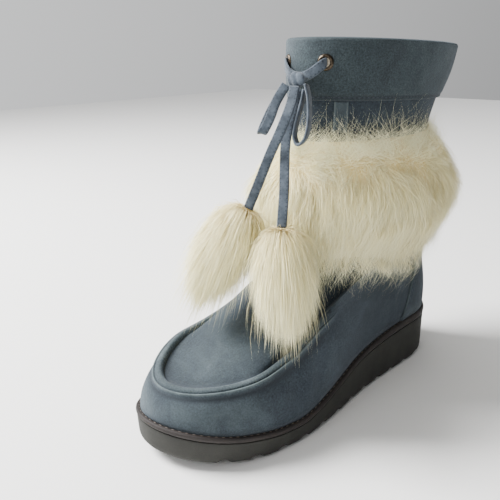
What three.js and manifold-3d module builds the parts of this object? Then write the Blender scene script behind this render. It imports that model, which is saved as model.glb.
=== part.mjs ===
// A left ankle boot: a suede upper on a wedge sole, with a moccasin apron, a folded cuff, a deep
// fur band and a flat lace whose two ends carry fur pompoms.
//
// Millimetres, +Z up. The toe points along -Y and the outer side of the foot is +X.
// The boot stands on z = 0, and the middle of its outline is over the origin.

import * as THREE from "three";
import Module from "manifold-3d";

const wasm = await Module();
wasm.setup();

// Driving sizes of the sole.
const soleLength = 275;
const ballWidth = 98.8;
const waistWidth = 79.4;
const heelWidth = 77.2;
const archInset = 4;
const toeCurve = 15;
const heelHeight = 35;
const waistHeight = 28.6;
const ballHeight = 13.8;
const toeThickness = 17.9;
const toeSpring = 7.8;
const heelBevel = 5;
const lugPitch = 19.5;
const lugNotch = 8;
const lugDepth = 2.2;
const lugReach = 22;
const weltAtHeel = 6.6;
const weltAtToe = 4;
const weltWidth = 6.6;
const insoleThickness = 3;

// Driving sizes of the upper.
const wall = 3;
const featherInset = 2.3;
const sideBulge = 2.4;
const heelBulge = 1.2;
const rollWidth = 7.5;
const rollProud = 2.4;
const throatHeight = 103;
const throatWidth = 84;
const throatBackInset = 10.5;
const throatLength = 147;
const rimHeight = 256;
const rimFall = 7;
const rimWidth = 93;
const rimBackOverhang = 21;
const rimLength = 161;

// Driving sizes of what the upper carries.
const cuffThickness = 2.4;
const cuffDepth = 40;
const cuffFold = 1.6;
const counterThickness = 1.1;
const counterTopHeight = 105;
const counterSeamTop = 31;
const counterSeamFoot = 64;
const badgeWidth = 24;
const badgeFoot = 62;
const badgeTop = 95;
const badgeCorner = 6;
const badgeThickness = 1.2;
const tapeWidth = 8;
const tapeThickness = 1.2;
const tapeClearance = 4;
const furDepth = 27;
const bareBand = 24;
const furSkirtHeight = 98;
const furFrontRise = 17;
const lockLength = 26;
const lockRadius = 6;
const loopWidth = 12;
const loopDepth = 10;
const loopHeight = 37;
const loopWall = 1.6;
const eyeletHole = 6;
const eyeletWidth = 10.6;
const eyeletSpacing = 28;
const eyeletDrop = 16.5;
const eyeletBarrelWall = 0.8;
const laceWidth = 6.5;
const laceThickness = 1.8;
const pompomWidth = 39;
const pompomLength = 50;

// The gap between two pieces that touch.
const gap = 0.3;

// Heights that follow the rim: it falls a little from front to back, the cuff hangs from it, and a
// band of bare wall parts the cuff's edge from the fur.
const rimHeightFront = rimHeight;
const rimHeightBack = rimHeight - rimFall;
const eyeletHeight = rimHeight - eyeletDrop;
const cuffEdgeHeight = rimHeight - cuffDepth;
const furTopHeight = cuffEdgeHeight - bareBand;
const tapeFoot = furTopHeight + tapeClearance;

// Steps round the foot and the shares of one side's steps where the heel's and the toe's rounds end.
const columns = 44;
const heelTurn = 0.19;
const ballTurn = 0.7;

// Shares of the sole's length that the rounds of heel and toe take, and how full each round is.
const heelRound = 0.16;
const toeRound = 0.26;
const heelPower = 2.2;
const toePower = 2.3;

const heelBack = soleLength / 2;

const lerp = THREE.MathUtils.lerp;
const clamp = THREE.MathUtils.clamp;

function ease(value, start, end) {
  const t = clamp((value - start) / (end - start), 0, 1);
  return t * t * (3 - 2 * t);
}

// A smooth curve through the rows of a table: column `name` as a function of its column `at`.
function curve(rows, name, at) {
  const last = rows.length - 1;
  const x = clamp(at, rows[0].at, rows[last].at);
  let i = 0;
  while (i < last - 1 && x > rows[i + 1].at) i += 1;
  const slope = (k) => {
    const before = rows[Math.max(k - 1, 0)];
    const after = rows[Math.min(k + 1, last)];
    return (after[name] - before[name]) / (after.at - before.at);
  };
  const span = rows[i + 1].at - rows[i].at;
  const t = (x - rows[i].at) / span;
  const rise = rows[i + 1][name] - rows[i][name];
  const first = slope(i) * span;
  const second = slope(i + 1) * span;
  return rows[i][name] + t * (first + t * (3 * rise - 2 * first - second + t * (first + second - 2 * rise)));
}

// The sole's half width between its rounds, against the share of the length from the heel's back.
const widthRows = [
  { at: heelRound, half: heelWidth / 2 },
  { at: 0.42, half: waistWidth / 2 },
  { at: 0.68, half: ballWidth / 2 },
  { at: 1 - toeRound, half: ballWidth / 2 },
];

// The outsole's thickness, against the share of the length from the heel's back.
const thicknessRows = [
  { at: 0, thick: heelHeight },
  { at: 0.25, thick: heelHeight * 0.97 },
  { at: 0.45, thick: waistHeight },
  { at: 0.68, thick: ballHeight },
  { at: 0.84, thick: lerp(ballHeight, toeThickness, 0.3) },
  { at: 1, thick: toeThickness },
];

// The line of the apron's roll on the outer and the inner side of the foot: how far it lies in from the
// sole's edge, as a share of the ball's width, and its height as a share of the throat's height.
const rollRows = [
  { at: 0, outerIn: 0.055, innerIn: 0.055, outerUp: 0.8, innerUp: 0.8 },
  { at: 0.16, outerIn: 0.05, innerIn: 0.05, outerUp: 0.81, innerUp: 0.81 },
  { at: 0.4, outerIn: 0.03, innerIn: 0.04, outerUp: 0.83, innerUp: 0.83 },
  { at: 0.52, outerIn: 0.03, innerIn: 0.06, outerUp: 0.8, innerUp: 0.8 },
  { at: 0.6, outerIn: 0.045, innerIn: 0.08, outerUp: 0.72, innerUp: 0.73 },
  { at: 0.68, outerIn: 0.075, innerIn: 0.085, outerUp: 0.6, innerUp: 0.64 },
  { at: 0.75, outerIn: 0.08, innerIn: 0.085, outerUp: 0.535, innerUp: 0.6 },
  { at: 0.84, outerIn: 0.07, innerIn: 0.085, outerUp: 0.5, innerUp: 0.57 },
  { at: 1, outerIn: 0.09, innerIn: 0.09, outerUp: 0.46, innerUp: 0.46 },
];
const rollToeInset = 0.115;

// Which share of the way round the shaft, from back to front, belongs to which share of one side's
// steps round the foot.
const turnRows = [
  { at: 0, round: 0 },
  { at: 0.19, round: 0.26 },
  { at: 0.45, round: 0.54 },
  { at: 0.7, round: 0.76 },
  { at: 1, round: 1 },
];

// The shaft's rings from the throat (0) up to the rim (1). The front, back and width columns are
// shares of the way from the throat's place to the rim's, and round is the ring's fullness.
const shaftRows = [
  { at: 0, front: 0, back: 0, width: 0, round: 2 },
  { at: 0.12, front: 0.45, back: 0.03, width: 0, round: 2 },
  { at: 0.31, front: 0.72, back: 0.12, width: -0.15, round: 1.9 },
  { at: 0.5, front: 0.81, back: 0.19, width: -0.3, round: 1.8 },
  { at: 0.62, front: 0.87, back: 0.33, width: -0.3, round: 1.7 },
  { at: 0.76, front: 0.92, back: 0.68, width: 0, round: 1.7 },
  { at: 0.88, front: 0.96, back: 0.85, width: 0.5, round: 1.85 },
  { at: 1, front: 1, back: 1, width: 1, round: 2 },
];

// Which side of the foot a step round it is on, and its share of that side from heel to toe.
function sideOf(turn) {
  return turn < 0.5 ? 1 : -1;
}

function shareOf(turn) {
  return turn < 0.5 ? 2 * turn : 2 - 2 * turn;
}

// The foot's outline in plan, set in from the sole's edge by `inset` at the sides and `endInset` at
// heel and toe: two superellipse rounds joined by the width table, bent to the inner side.
function footEdge(turn, inset, endInset) {
  const side = sideOf(turn);
  const share = shareOf(turn);
  let along;
  let half;
  if (share < heelTurn) {
    const angle = (share / heelTurn) * (Math.PI / 2);
    const reach = heelRound * soleLength - endInset;
    along = heelRound * soleLength - reach * Math.cos(angle) ** (2 / heelPower);
    half = (heelWidth / 2 - inset) * Math.sin(angle) ** (2 / heelPower);
  } else if (share < ballTurn) {
    const step = (share - heelTurn) / (ballTurn - heelTurn);
    along = lerp(heelRound, 1 - toeRound, step) * soleLength;
    half = curve(widthRows, "half", along / soleLength) - inset;
  } else {
    const angle = ((share - ballTurn) / (1 - ballTurn)) * (Math.PI / 2);
    const reach = toeRound * soleLength - endInset;
    along = (1 - toeRound) * soleLength + reach * Math.sin(angle) ** (2 / toePower);
    half = (ballWidth / 2 - inset) * Math.max(Math.cos(angle), 0);
  }
  const place = along / soleLength;
  const arch = side < 0 ? archInset * ease(place, 0.2, 0.42) * (1 - ease(place, 0.42, 0.66)) : 0;
  const lean = toeCurve * Math.max(0, (place - 0.5) / 0.5) ** 1.5;
  return { x: side * (half - arch) - lean, y: heelBack - along, place };
}

function soleBottom(place) {
  const spring = toeSpring * Math.max(0, (place - 0.72) / 0.28) ** 2;
  const bevel = heelBevel * Math.max(0, 1 - place / 0.05) ** 1.5;
  return spring + bevel;
}

function soleTop(place) {
  const spring = toeSpring * Math.max(0, (place - 0.72) / 0.28) ** 2;
  return curve(thicknessRows, "thick", place) + spring;
}

function weltTop(place) {
  return soleTop(place) + lerp(weltAtHeel, weltAtToe, ease(place, 0.1, 0.6));
}

// One ring of points, a function of the step round the foot.
function ring(pointAt) {
  return Array.from({ length: columns }, (_, i) => pointAt(i / columns));
}

// A ring on the foot's outline whose height is a function of the place along the sole.
function footRing(inset, heightAt) {
  return ring((turn) => {
    const edge = footEdge(turn, inset, inset);
    return new THREE.Vector3(edge.x, edge.y, heightAt(edge.place));
  });
}

// The two triangles of each step between two rings, which start at points `low` and `high`. Where
// the section runs back, they are split the other way, so that both faces of a wall have the same folds.
function band(low, high, count, runsBack, triangles) {
  for (let i = 0; i < count; i += 1) {
    const j = (i + 1) % count;
    if (runsBack) triangles.push([low + i, low + j, high + i], [low + j, high + j, high + i]);
    else triangles.push([low + i, low + j, high + j], [low + i, high + j, high + i]);
  }
}

// A closed body in the shape of a tyre: its section runs along the `there` rings and back along the others.
function tyre(there, back) {
  const rings = [...there, ...back];
  const count = rings[0].length;
  const triangles = [];
  for (const k of rings.keys()) {
    band(k * count, ((k + 1) % rings.length) * count, count, k >= there.length, triangles);
  }
  return solid(rings.flat(), triangles);
}

// A closed body from a stack of rings, with strips across its first and last ring.
function stack(rings) {
  const triangles = [];
  const count = rings[0].length;
  for (let k = 0; k < rings.length - 1; k += 1) band(k * count, (k + 1) * count, count, false, triangles);
  const cap = (start, flip) => {
    let left = 1;
    let right = count - 1;
    const add = (a, b, c) => {
      triangles.push(flip ? [start + c, start + b, start + a] : [start + a, start + b, start + c]);
    };
    add(0, right, left);
    while (right - left > 1) {
      add(left, right, right - 1);
      if (right - 1 > left + 1) add(left, right - 1, left + 1);
      left += 1;
      right -= 1;
    }
  };
  cap(0, false);
  cap((rings.length - 1) * count, true);
  return solid(rings.flat(), triangles);
}

// Joins points and triangles into a body that faces outwards, ready for cuts and joins.
function solid(points, triangles) {
  let volume = 0;
  for (const [a, b, c] of triangles) {
    volume += points[a].dot(points[b].clone().cross(points[c]));
  }
  const facing = volume < 0 ? triangles.map(([a, b, c]) => [a, c, b]) : triangles;
  const mesh = new wasm.Mesh({
    numProp: 3,
    vertProperties: new Float32Array(points.flatMap((p) => [p.x, p.y, p.z])),
    triVerts: new Uint32Array(facing.flat()),
  });
  return new wasm.Manifold(mesh);
}

// A closed three.js geometry as a solid: its vertices are merged by place, as its triangles share them.
function solidOf(geometry, matrix) {
  const source = geometry.index ? geometry.toNonIndexed() : geometry;
  const position = source.getAttribute("position");
  const places = new Map();
  const points = [];
  const corners = [];
  for (let i = 0; i < position.count; i += 1) {
    const point = new THREE.Vector3().fromBufferAttribute(position, i);
    const key = point.toArray().map((v) => Math.round(v * 1e4)).join(" ");
    if (!places.has(key)) {
      places.set(key, points.length);
      points.push(point.applyMatrix4(matrix));
    }
    corners.push(places.get(key));
  }
  const triangles = [];
  for (let i = 0; i < corners.length; i += 3) {
    const [a, b, c] = corners.slice(i, i + 3);
    if (a !== b && b !== c && c !== a) triangles.push([a, b, c]);
  }
  return solid(points, triangles);
}

function geometryOf(body) {
  const mesh = body.getMesh();
  const geometry = new THREE.BufferGeometry();
  const places = new Float32Array(mesh.numVert * 3);
  for (let i = 0; i < mesh.numVert; i += 1) {
    places.set(mesh.vertProperties.subarray(i * mesh.numProp, i * mesh.numProp + 3), i * 3);
  }
  geometry.setAttribute("position", new THREE.BufferAttribute(places, 3));
  geometry.setIndex(new THREE.BufferAttribute(mesh.triVerts.slice(), 1));
  geometry.computeVertexNormals();
  return geometry;
}

// Turns a body's +Z to `direction`, with its +X kept level, and moves it to `place`.
function facing(place, direction) {
  const forward = direction.clone().normalize();
  const across = new THREE.Vector3(0, 0, 1).cross(forward).normalize();
  const up = forward.clone().cross(across);
  return new THREE.Matrix4().makeBasis(across, up, forward).setPosition(place);
}

// The shaft's ring at share `up` of its height: an ellipse-like form with its own front and back.
function shaftPoint(turn, up) {
  const round = curve(turnRows, "round", shareOf(turn)) * Math.PI;
  const throatBack = heelBack - throatBackInset;
  const rimBack = heelBack + rimBackOverhang;
  const back = lerp(throatBack, rimBack, curve(shaftRows, "back", up));
  const front = lerp(throatBack - throatLength, rimBack - rimLength, curve(shaftRows, "front", up));
  const half = lerp(throatWidth, rimWidth, curve(shaftRows, "width", up)) / 2;
  const middle = (front + back) / 2;
  const power = Math.cos(round) > 0 ? curve(shaftRows, "round", up) : 2;
  const across = Math.max(Math.sin(round), 0) ** (2 / power);
  const along = Math.abs(Math.cos(round)) ** (2 / power) * Math.sign(Math.cos(round));
  const y = middle + along * (back - middle);
  const rim = lerp(rimHeightBack, rimHeightFront, (back - y) / (back - front));
  return new THREE.Vector3(sideOf(turn) * half * across, y, lerp(throatHeight, rim, up));
}

// The share of the shaft's height that lies at a height over its middle.
function shaftShare(height) {
  return (height - throatHeight) / ((rimHeightBack + rimHeightFront) / 2 - throatHeight);
}

// How much of the apron's roll there is at a place along the sole.
function rollFade(place) {
  return ease(place, 0.54, 0.63);
}

// A point of the roll: `across` runs from its outer foot (0) to its inner one (1). Behind the roll,
// where it has faded, the same steps climb the quarters.
const quarterClimb = 9;
const rollClimb = 1.5;
function rollPoint(turn, across) {
  const place = footEdge(turn, 0, 0).place;
  const side = sideOf(turn) > 0 ? "outer" : "inner";
  const fade = rollFade(place);
  const inset = ballWidth * curve(rollRows, `${side}In`, place) + across * rollWidth * fade;
  const end = place > 0.5 ? ballWidth * rollToeInset + across * rollWidth * fade : inset;
  const edge = footEdge(turn, inset, end);
  const climb = across * lerp(quarterClimb, rollClimb, fade);
  return new THREE.Vector3(edge.x, edge.y, throatHeight * curve(rollRows, `${side}Up`, place) + climb);
}

// A point of the side wall, from the feather line (0) up to the roll's foot (1), bulged outwards.
function sidePoint(turn, up) {
  const edge = footEdge(turn, featherInset, featherInset);
  const foot = new THREE.Vector3(edge.x, edge.y, weltTop(edge.place) + gap);
  const outward = new THREE.Vector3(edge.x - footEdge(turn, 20, 20).x, edge.y - footEdge(turn, 20, 20).y, 0);
  const bulge = lerp(heelBulge, sideBulge, ease(edge.place, 0.3, 0.6)) * Math.sin(Math.PI * up);
  return foot.lerp(rollPoint(turn, 0), up).addScaledVector(outward.normalize(), bulge);
}

// A point between the roll's inner foot (0) and the throat (1). The toe's columns sag below the
// straight line, as a vamp does, and the sides' don't.
const vampSag = 1.45;
function vampPoint(turn, up) {
  const start = rollPoint(turn, 1);
  const end = shaftPoint(turn, 0);
  const power = lerp(1, vampSag, ease(shareOf(turn), 0.55, 0.9));
  const point = start.clone().lerp(end, up);
  point.z = lerp(start.z, end.z, up ** power);
  return point;
}

// The upper's rows from the feather line to the rim. Each has its point and how proud the roll is.
const rows = [
  ...[0, 0.28, 0.66].map((up) => ({ at: (turn) => sidePoint(turn, up), roll: 0 })),
  { at: (turn) => rollPoint(turn, 0), roll: -0.35 },
  { at: (turn) => rollPoint(turn, 0.25), roll: 0.9 },
  { at: (turn) => rollPoint(turn, 0.7), roll: 1 },
  { at: (turn) => rollPoint(turn, 1), roll: -0.35 },
  ...[0.34, 0.74].map((up) => ({ at: (turn) => vampPoint(turn, up), roll: 0 })),
];
const throatRow = rows.length;
const shaftHeights = [0, 0.17, 0.48, 0.775, 1].map((share) => lerp(throatHeight, furTopHeight, share));
rows.push(...shaftHeights.map((z) => ({ at: (turn) => shaftPoint(turn, shaftShare(z)), roll: 0 })));
const furTopRow = rows.length - 1;
const cuffRow = rows.length;
rows.push({ at: (turn) => shaftPoint(turn, shaftShare(cuffEdgeHeight)), roll: 0 });
rows.push({ at: (turn) => shaftPoint(turn, 1), roll: 0 });
const rimRow = rows.length - 1;

const base = rows.map((row) => ring(row.at));

// The outward direction at each point of the base surface. At the feather line and the rim it is level.
const outward = base.map((points, r) =>
  points.map((point, i) => {
    const round = points[(i + 1) % columns].clone().sub(points[(i + columns - 1) % columns]);
    const below = base[Math.max(r - 1, 0)][i];
    const above = base[Math.min(r + 1, rimRow)][i];
    const normal = round.cross(above.clone().sub(below));
    if (r === 0 || r === rimRow) normal.z = 0;
    return normal.normalize();
  }),
);
const turned = outward[rimRow][0].y > 0 ? 1 : -1;

// The base surface's row `r` moved outwards by `offset`, a number or a function of the column.
function offsetRow(r, offset, lift = 0) {
  return base[r].map((point, i) => {
    const far = typeof offset === "function" ? offset(i) : offset;
    const moved = point.clone().addScaledVector(outward[r][i], turned * far);
    moved.z += lift;
    return moved;
  });
}

// How proud the upper's face is of the base surface at a row and column: the roll's height there.
function proud(r, i) {
  return rows[r].roll * rollProud * rollFade(footEdge(i / columns, 0, 0).place);
}

// The upper's outer face moved outwards, so that an overlay lies on the roll too.
function faceRow(r, offset, lift = 0) {
  return offsetRow(r, (i) => proud(r, i) + offset, lift);
}

function rowsFrom(first, last) {
  return Array.from({ length: last - first + 1 }, (_, k) => first + k);
}

// A form that follows the upper from row `first` to row `last`, between two distances from its face.
function skin(first, last, near, far) {
  const outside = rowsFrom(first, last).map((r) => faceRow(r, far));
  const inside = rowsFrom(first, last).reverse().map((r) => faceRow(r, near));
  return tyre(outside, inside);
}

// The place of a point on the shaft's ring at a height, found by its distance from the middle line.
function shaftSpot(x, height) {
  let low = 0.25;
  let high = 0.5;
  for (let k = 0; k < 40; k += 1) {
    const middle = (low + high) / 2;
    const wide = shaftPoint(middle, shaftShare(height)).x > Math.abs(x);
    if (wide) low = middle;
    else high = middle;
  }
  const spot = shaftPoint(low, shaftShare(height));
  const beside = shaftPoint(low - 0.02, shaftShare(height)).sub(shaftPoint(low + 0.02, shaftShare(height)));
  const over = shaftPoint(low, shaftShare(height + 4)).sub(shaftPoint(low, shaftShare(height - 4)));
  const normal = beside.cross(over).normalize();
  if (normal.y > 0) normal.negate();
  spot.x *= Math.sign(x);
  normal.x *= Math.sign(x);
  return { spot, normal };
}

// A strip of the flat lace along a smooth curve. Its width keeps to `across` as far as the path allows.
function ribbon(points, across, steps) {
  const path = new THREE.CatmullRomCurve3(points.map((p) => new THREE.Vector3(...p)), false, "centripetal");
  const rings = Array.from({ length: steps + 1 }, (_, k) => {
    const t = k / steps;
    const middle = path.getPointAt(t);
    const tangent = path.getTangentAt(t);
    const wide = new THREE.Vector3(...across).addScaledVector(tangent, -tangent.dot(new THREE.Vector3(...across)));
    wide.normalize();
    const thick = tangent.clone().cross(wide);
    const corners = [[1, 1], [-1, 1], [-1, -1], [1, -1]];
    return corners.map(([a, b]) =>
      middle.clone()
        .addScaledVector(wide, (a * laceWidth) / 2)
        .addScaledVector(thick, (b * laceThickness) / 2),
    );
  });
  return stack(rings);
}

// One lock of fur: a tapered, curved horn with four sides that starts inside its body.
function lock(root, direction, droop, length, radius) {
  const forward = direction.clone().normalize();
  const side = new THREE.Vector3(0, 0, 1).cross(forward).normalize();
  const shares = [0, 0.5, 1];
  const widths = [0.9, 1, 0.1];
  const rings = shares.map((share, k) => {
    const middle = root.clone().addScaledVector(forward, length * share);
    middle.addScaledVector(droop, length * share * share);
    const bend = forward.clone().addScaledVector(droop, 2 * share).normalize();
    const up = bend.clone().cross(side).normalize();
    return [0, 1, 2, 3].map((corner) => {
      const angle = (corner + 0.5) * (Math.PI / 2);
      const reach = radius * widths[k];
      return middle.clone()
        .addScaledVector(side, reach * Math.cos(angle))
        .addScaledVector(up, reach * 0.7 * Math.sin(angle));
    });
  });
  return stack(rings);
}

// Outsole: a wedge with toe spring, a rolled lower edge and shallow notches between its edge lugs.
function outsole() {
  const body = stack([
    footRing(5, soleBottom),
    footRing(2.2, (place) => soleBottom(place) + 1.4),
    footRing(0.5, (place) => soleBottom(place) + 5.5),
    footRing(0, soleTop),
  ]);
  const notches = [];
  const first = heelRound * soleLength * 0.75;
  const last = soleLength * 0.92;
  for (let along = first; along < last; along += lugPitch) {
    const place = along / soleLength;
    const centre = -toeCurve * Math.max(0, (place - 0.5) / 0.5) ** 1.5;
    for (const side of [1, -1]) {
      const round = new THREE.CylinderGeometry(lugNotch / 2, lugNotch / 2, lugReach * 2, 8);
      const turn = new THREE.Matrix4().makeRotationZ(Math.PI / 2);
      turn.premultiply(new THREE.Matrix4().makeScale(1, 1, lugDepth / (lugNotch / 2)));
      const edge = halfWidthAt(place);
      turn.setPosition(centre + side * edge, heelBack - along, soleBottom(place));
      notches.push(solidOf(round, turn));
    }
  }
  return notches.reduce((left, notch) => left.subtract(notch), body);
}

// The sole's half width at a share of its length, rounds included.
function halfWidthAt(place) {
  if (place < heelRound) {
    return (heelWidth / 2) * (1 - (1 - place / heelRound) ** heelPower) ** (1 / heelPower);
  }
  if (place < 1 - toeRound) return curve(widthRows, "half", place);
  return (ballWidth / 2) * Math.sqrt(1 - ((place - 1 + toeRound) / toeRound) ** toePower);
}

// Welt: the brown strip round the sole's top, which the upper stands on.
function welt() {
  const low = (place) => soleTop(place) + gap;
  const middle = (place) => (soleTop(place) + gap + weltTop(place)) / 2;
  return tyre(
    [footRing(0.3, low), footRing(-0.5, middle), footRing(0.4, weltTop)],
    [footRing(weltWidth, weltTop), footRing(weltWidth, low)],
  );
}

// Insole: fills the welt and rises a little inside the upper.
function insole() {
  const inset = weltWidth + gap;
  return stack([
    footRing(inset, (place) => soleTop(place) + gap),
    footRing(inset, (place) => weltTop(place) + insoleThickness),
  ]);
}

// Upper: one hollow form, open at the rim and underneath, with the apron's roll raised in its wall.
function upper() {
  const outside = rowsFrom(0, rimRow).map((r) => faceRow(r, 0));
  const inside = rowsFrom(0, rimRow).reverse().map((r) => offsetRow(r, -wall));
  return eyeletPlaces.reduce((left, place) => left.subtract(eyeletBore(place)), tyre(outside, inside));
}

// Cuff: an outer band from its sewn edge to the rim, folded over the top of the wall.
function cuff() {
  const thick = cuffThickness;
  const outside = [
    ...rowsFrom(cuffRow, rimRow).map((r) => offsetRow(r, gap + thick)),
    offsetRow(rimRow, gap + thick * 0.5, gap + cuffFold),
    offsetRow(rimRow, -wall * 0.8, gap + cuffFold),
    offsetRow(rimRow, -wall, gap),
    offsetRow(rimRow, gap, gap),
  ];
  const body = tyre(outside, rowsFrom(cuffRow, rimRow).reverse().map((r) => offsetRow(r, gap)));
  return eyeletPlaces.reduce((left, place) => left.subtract(eyeletBore(place)), body);
}

// Eyelets: a flange on the cuff and a barrel through cuff and wall, either side of the front.
const eyeletPlaces = [1, -1].map((side) => {
  const { spot, normal } = shaftSpot((side * eyeletSpacing) / 2, eyeletHeight);
  const seat = spot.clone().addScaledVector(normal, gap + cuffThickness + 2 * gap);
  return { side, seat, normal };
});

const boreRadius = eyeletHole / 2 + eyeletBarrelWall + gap;
const boreLength = 2 * (wall + cuffThickness + eyeletWidth);

function eyeletBore({ seat, normal }) {
  const bore = new THREE.CylinderGeometry(boreRadius, boreRadius, boreLength, 12);
  bore.rotateX(Math.PI / 2);
  return solidOf(bore, facing(seat, normal));
}

function eyelet({ seat, normal }) {
  const hole = eyeletHole / 2;
  const flange = eyeletWidth / 2;
  const barrel = -(wall + cuffThickness + gap);
  const profile = [
    [hole, barrel],
    [hole + eyeletBarrelWall, barrel],
    [hole + eyeletBarrelWall, 0],
    [flange, 0],
    [flange, 0.6],
    [lerp(hole, flange, 0.5), 1.4],
    [hole, 0.7],
    [hole, barrel],
  ];
  const ringForm = new THREE.LatheGeometry(profile.map(([x, y]) => new THREE.Vector2(x, y)), 16);
  ringForm.rotateX(Math.PI / 2);
  return solidOf(ringForm, facing(seat, normal));
}

// Counter: the heel panel over the quarters, cut by its two slanting seams.
function counter() {
  const form = skin(0, throatRow + 2, gap, gap + counterThickness);
  const seamTop = heelBack - counterSeamTop;
  const seamFoot = heelBack - counterSeamFoot;
  const low = heelHeight;
  const outline = new THREE.Shape([
    new THREE.Vector2(seamFoot, low),
    new THREE.Vector2(seamTop, counterTopHeight),
    new THREE.Vector2(heelBack * 2, counterTopHeight),
    new THREE.Vector2(heelBack * 2, low),
  ]);
  return form.intersect(acrossShape(outline, heelWidth * 2));
}

// A shape drawn in Y and Z, extruded across the boot to a width centred on its middle line.
function acrossShape(outline, width) {
  const body = new THREE.ExtrudeGeometry(outline, { depth: width, bevelEnabled: false, curveSegments: 4 });
  const basis = new THREE.Matrix4().makeBasis(
    new THREE.Vector3(0, 1, 0),
    new THREE.Vector3(0, 0, 1),
    new THREE.Vector3(1, 0, 0),
  );
  return solidOf(body, basis.setPosition(-width / 2, 0, 0));
}

// Heel badge: a plain patch on the counter, its lower corners rounded.
function heelBadge() {
  const near = gap + counterThickness + gap;
  const form = skin(0, throatRow + 2, near, near + badgeThickness);
  const half = badgeWidth / 2;
  const outline = new THREE.Shape();
  outline.moveTo(-half, badgeTop);
  outline.lineTo(-half, badgeFoot + badgeCorner);
  outline.quadraticCurveTo(-half, badgeFoot, -half + badgeCorner, badgeFoot);
  outline.lineTo(half - badgeCorner, badgeFoot);
  outline.quadraticCurveTo(half, badgeFoot, half, badgeFoot + badgeCorner);
  outline.lineTo(half, badgeTop);
  outline.closePath();
  const body = new THREE.ExtrudeGeometry(outline, { depth: heelBack, bevelEnabled: false, curveSegments: 3 });
  const basis = new THREE.Matrix4().makeBasis(
    new THREE.Vector3(-1, 0, 0),
    new THREE.Vector3(0, 0, 1),
    new THREE.Vector3(0, 1, 0),
  );
  return form.intersect(solidOf(body, basis.setPosition(0, heelBack / 2, 0)));
}

// Seam tapes: strips that run from under the cuff down into the fur, either side of the front.
const tapeSpread = 22;
function seamTape(side) {
  const form = skin(furTopRow, cuffRow, gap, gap + tapeThickness);
  const { spot, normal } = shaftSpot(side * tapeSpread, (furTopHeight + cuffEdgeHeight) / 2);
  const level = new THREE.Vector3(normal.x, normal.y, 0);
  const height = cuffEdgeHeight - gap - tapeFoot;
  const block = new THREE.BoxGeometry(tapeWidth, height, 20);
  const place = new THREE.Vector3(spot.x, spot.y, (cuffEdgeHeight - gap + tapeFoot) / 2);
  return form.intersect(solidOf(block, facing(place, level)));
}

// The fur's depth against the share of the height from its skirt (0) to its top edge (1).
const furRows = [
  { at: 0, depth: 0.24 },
  { at: 0.12, depth: 0.6 },
  { at: 0.3, depth: 0.94 },
  { at: 0.52, depth: 1 },
  { at: 0.66, depth: 0.9 },
  { at: 0.8, depth: 0.66 },
  { at: 0.92, depth: 0.36 },
  { at: 1, depth: 0.1 },
];

// The height of the fur's skirt, which rises over the instep.
function skirtHeight(turn) {
  return furSkirtHeight + furFrontRise * ease(curve(turnRows, "round", shareOf(turn)), 0.35, 0.75);
}

// The shaft's ring at a height, moved outwards by `far` in its own level. Below the throat it is the
// throat's ring.
function aroundShaft(turn, height, far) {
  const up = Math.max(shaftShare(height), 0);
  const spot = shaftPoint(turn, up);
  const beside = shaftPoint((turn + 0.99) % 1, up).sub(shaftPoint((turn + 0.01) % 1, up));
  const away = new THREE.Vector3(-beside.y, beside.x, 0).normalize();
  if (away.dot(new THREE.Vector3(spot.x, spot.y - heelBack / 2, 0)) < 0) away.negate();
  spot.addScaledVector(away, far);
  spot.z = height;
  return spot;
}

// The fur's outer face, waved from column to column.
function furPoint(turn, share) {
  const height = lerp(skirtHeight(turn), furTopHeight, share);
  const wave = 1 + 0.06 * Math.sin(turn * 2 * Math.PI * 11 + share * 5);
  return aroundShaft(turn, height, furDepth * curve(furRows, "depth", share) * wave);
}

// Fur band: a deep ring on the shaft with a hanging skirt and rows of locks joined to it.
function furBand() {
  const outside = furRows.map((row) => ring((turn) => furPoint(turn, row.at)));
  const skirt = counterThickness + badgeThickness + 6 * gap;
  const inside = rowsFrom(throatRow + 1, furTopRow).reverse().map((r) => offsetRow(r, gap));
  const hem = ring((turn) => aroundShaft(turn, skirtHeight(turn) + 2, skirt));
  let body = tyre(outside, [...inside, hem]);
  const lockRows = [
    { share: 0.28, count: 16, length: 0.62, lean: 0.3 },
    { share: 0.62, count: 15, length: 1.15, lean: 0.14 },
  ];
  for (const [k, row] of lockRows.entries()) {
    for (let i = 0; i < row.count; i += 1) {
      const turn = (i + 0.5 * k + 0.2 * Math.sin(i * 2.4)) / row.count;
      const point = furPoint(turn, row.share);
      const out = point.clone().sub(shaftPoint(turn, 0.3)).setZ(0).normalize();
      const root = point.clone().addScaledVector(out, -lockRadius * 1.1);
      const along = furPoint(turn, row.share - 0.12).sub(point).normalize();
      const direction = along.addScaledVector(out, row.lean);
      const length = lockLength * row.length * (1 + 0.2 * Math.sin(i * 1.7 + k));
      body = body.add(lock(root, direction, out.clone().multiplyScalar(0.12), length, lockRadius));
    }
  }
  return body;
}

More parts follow.
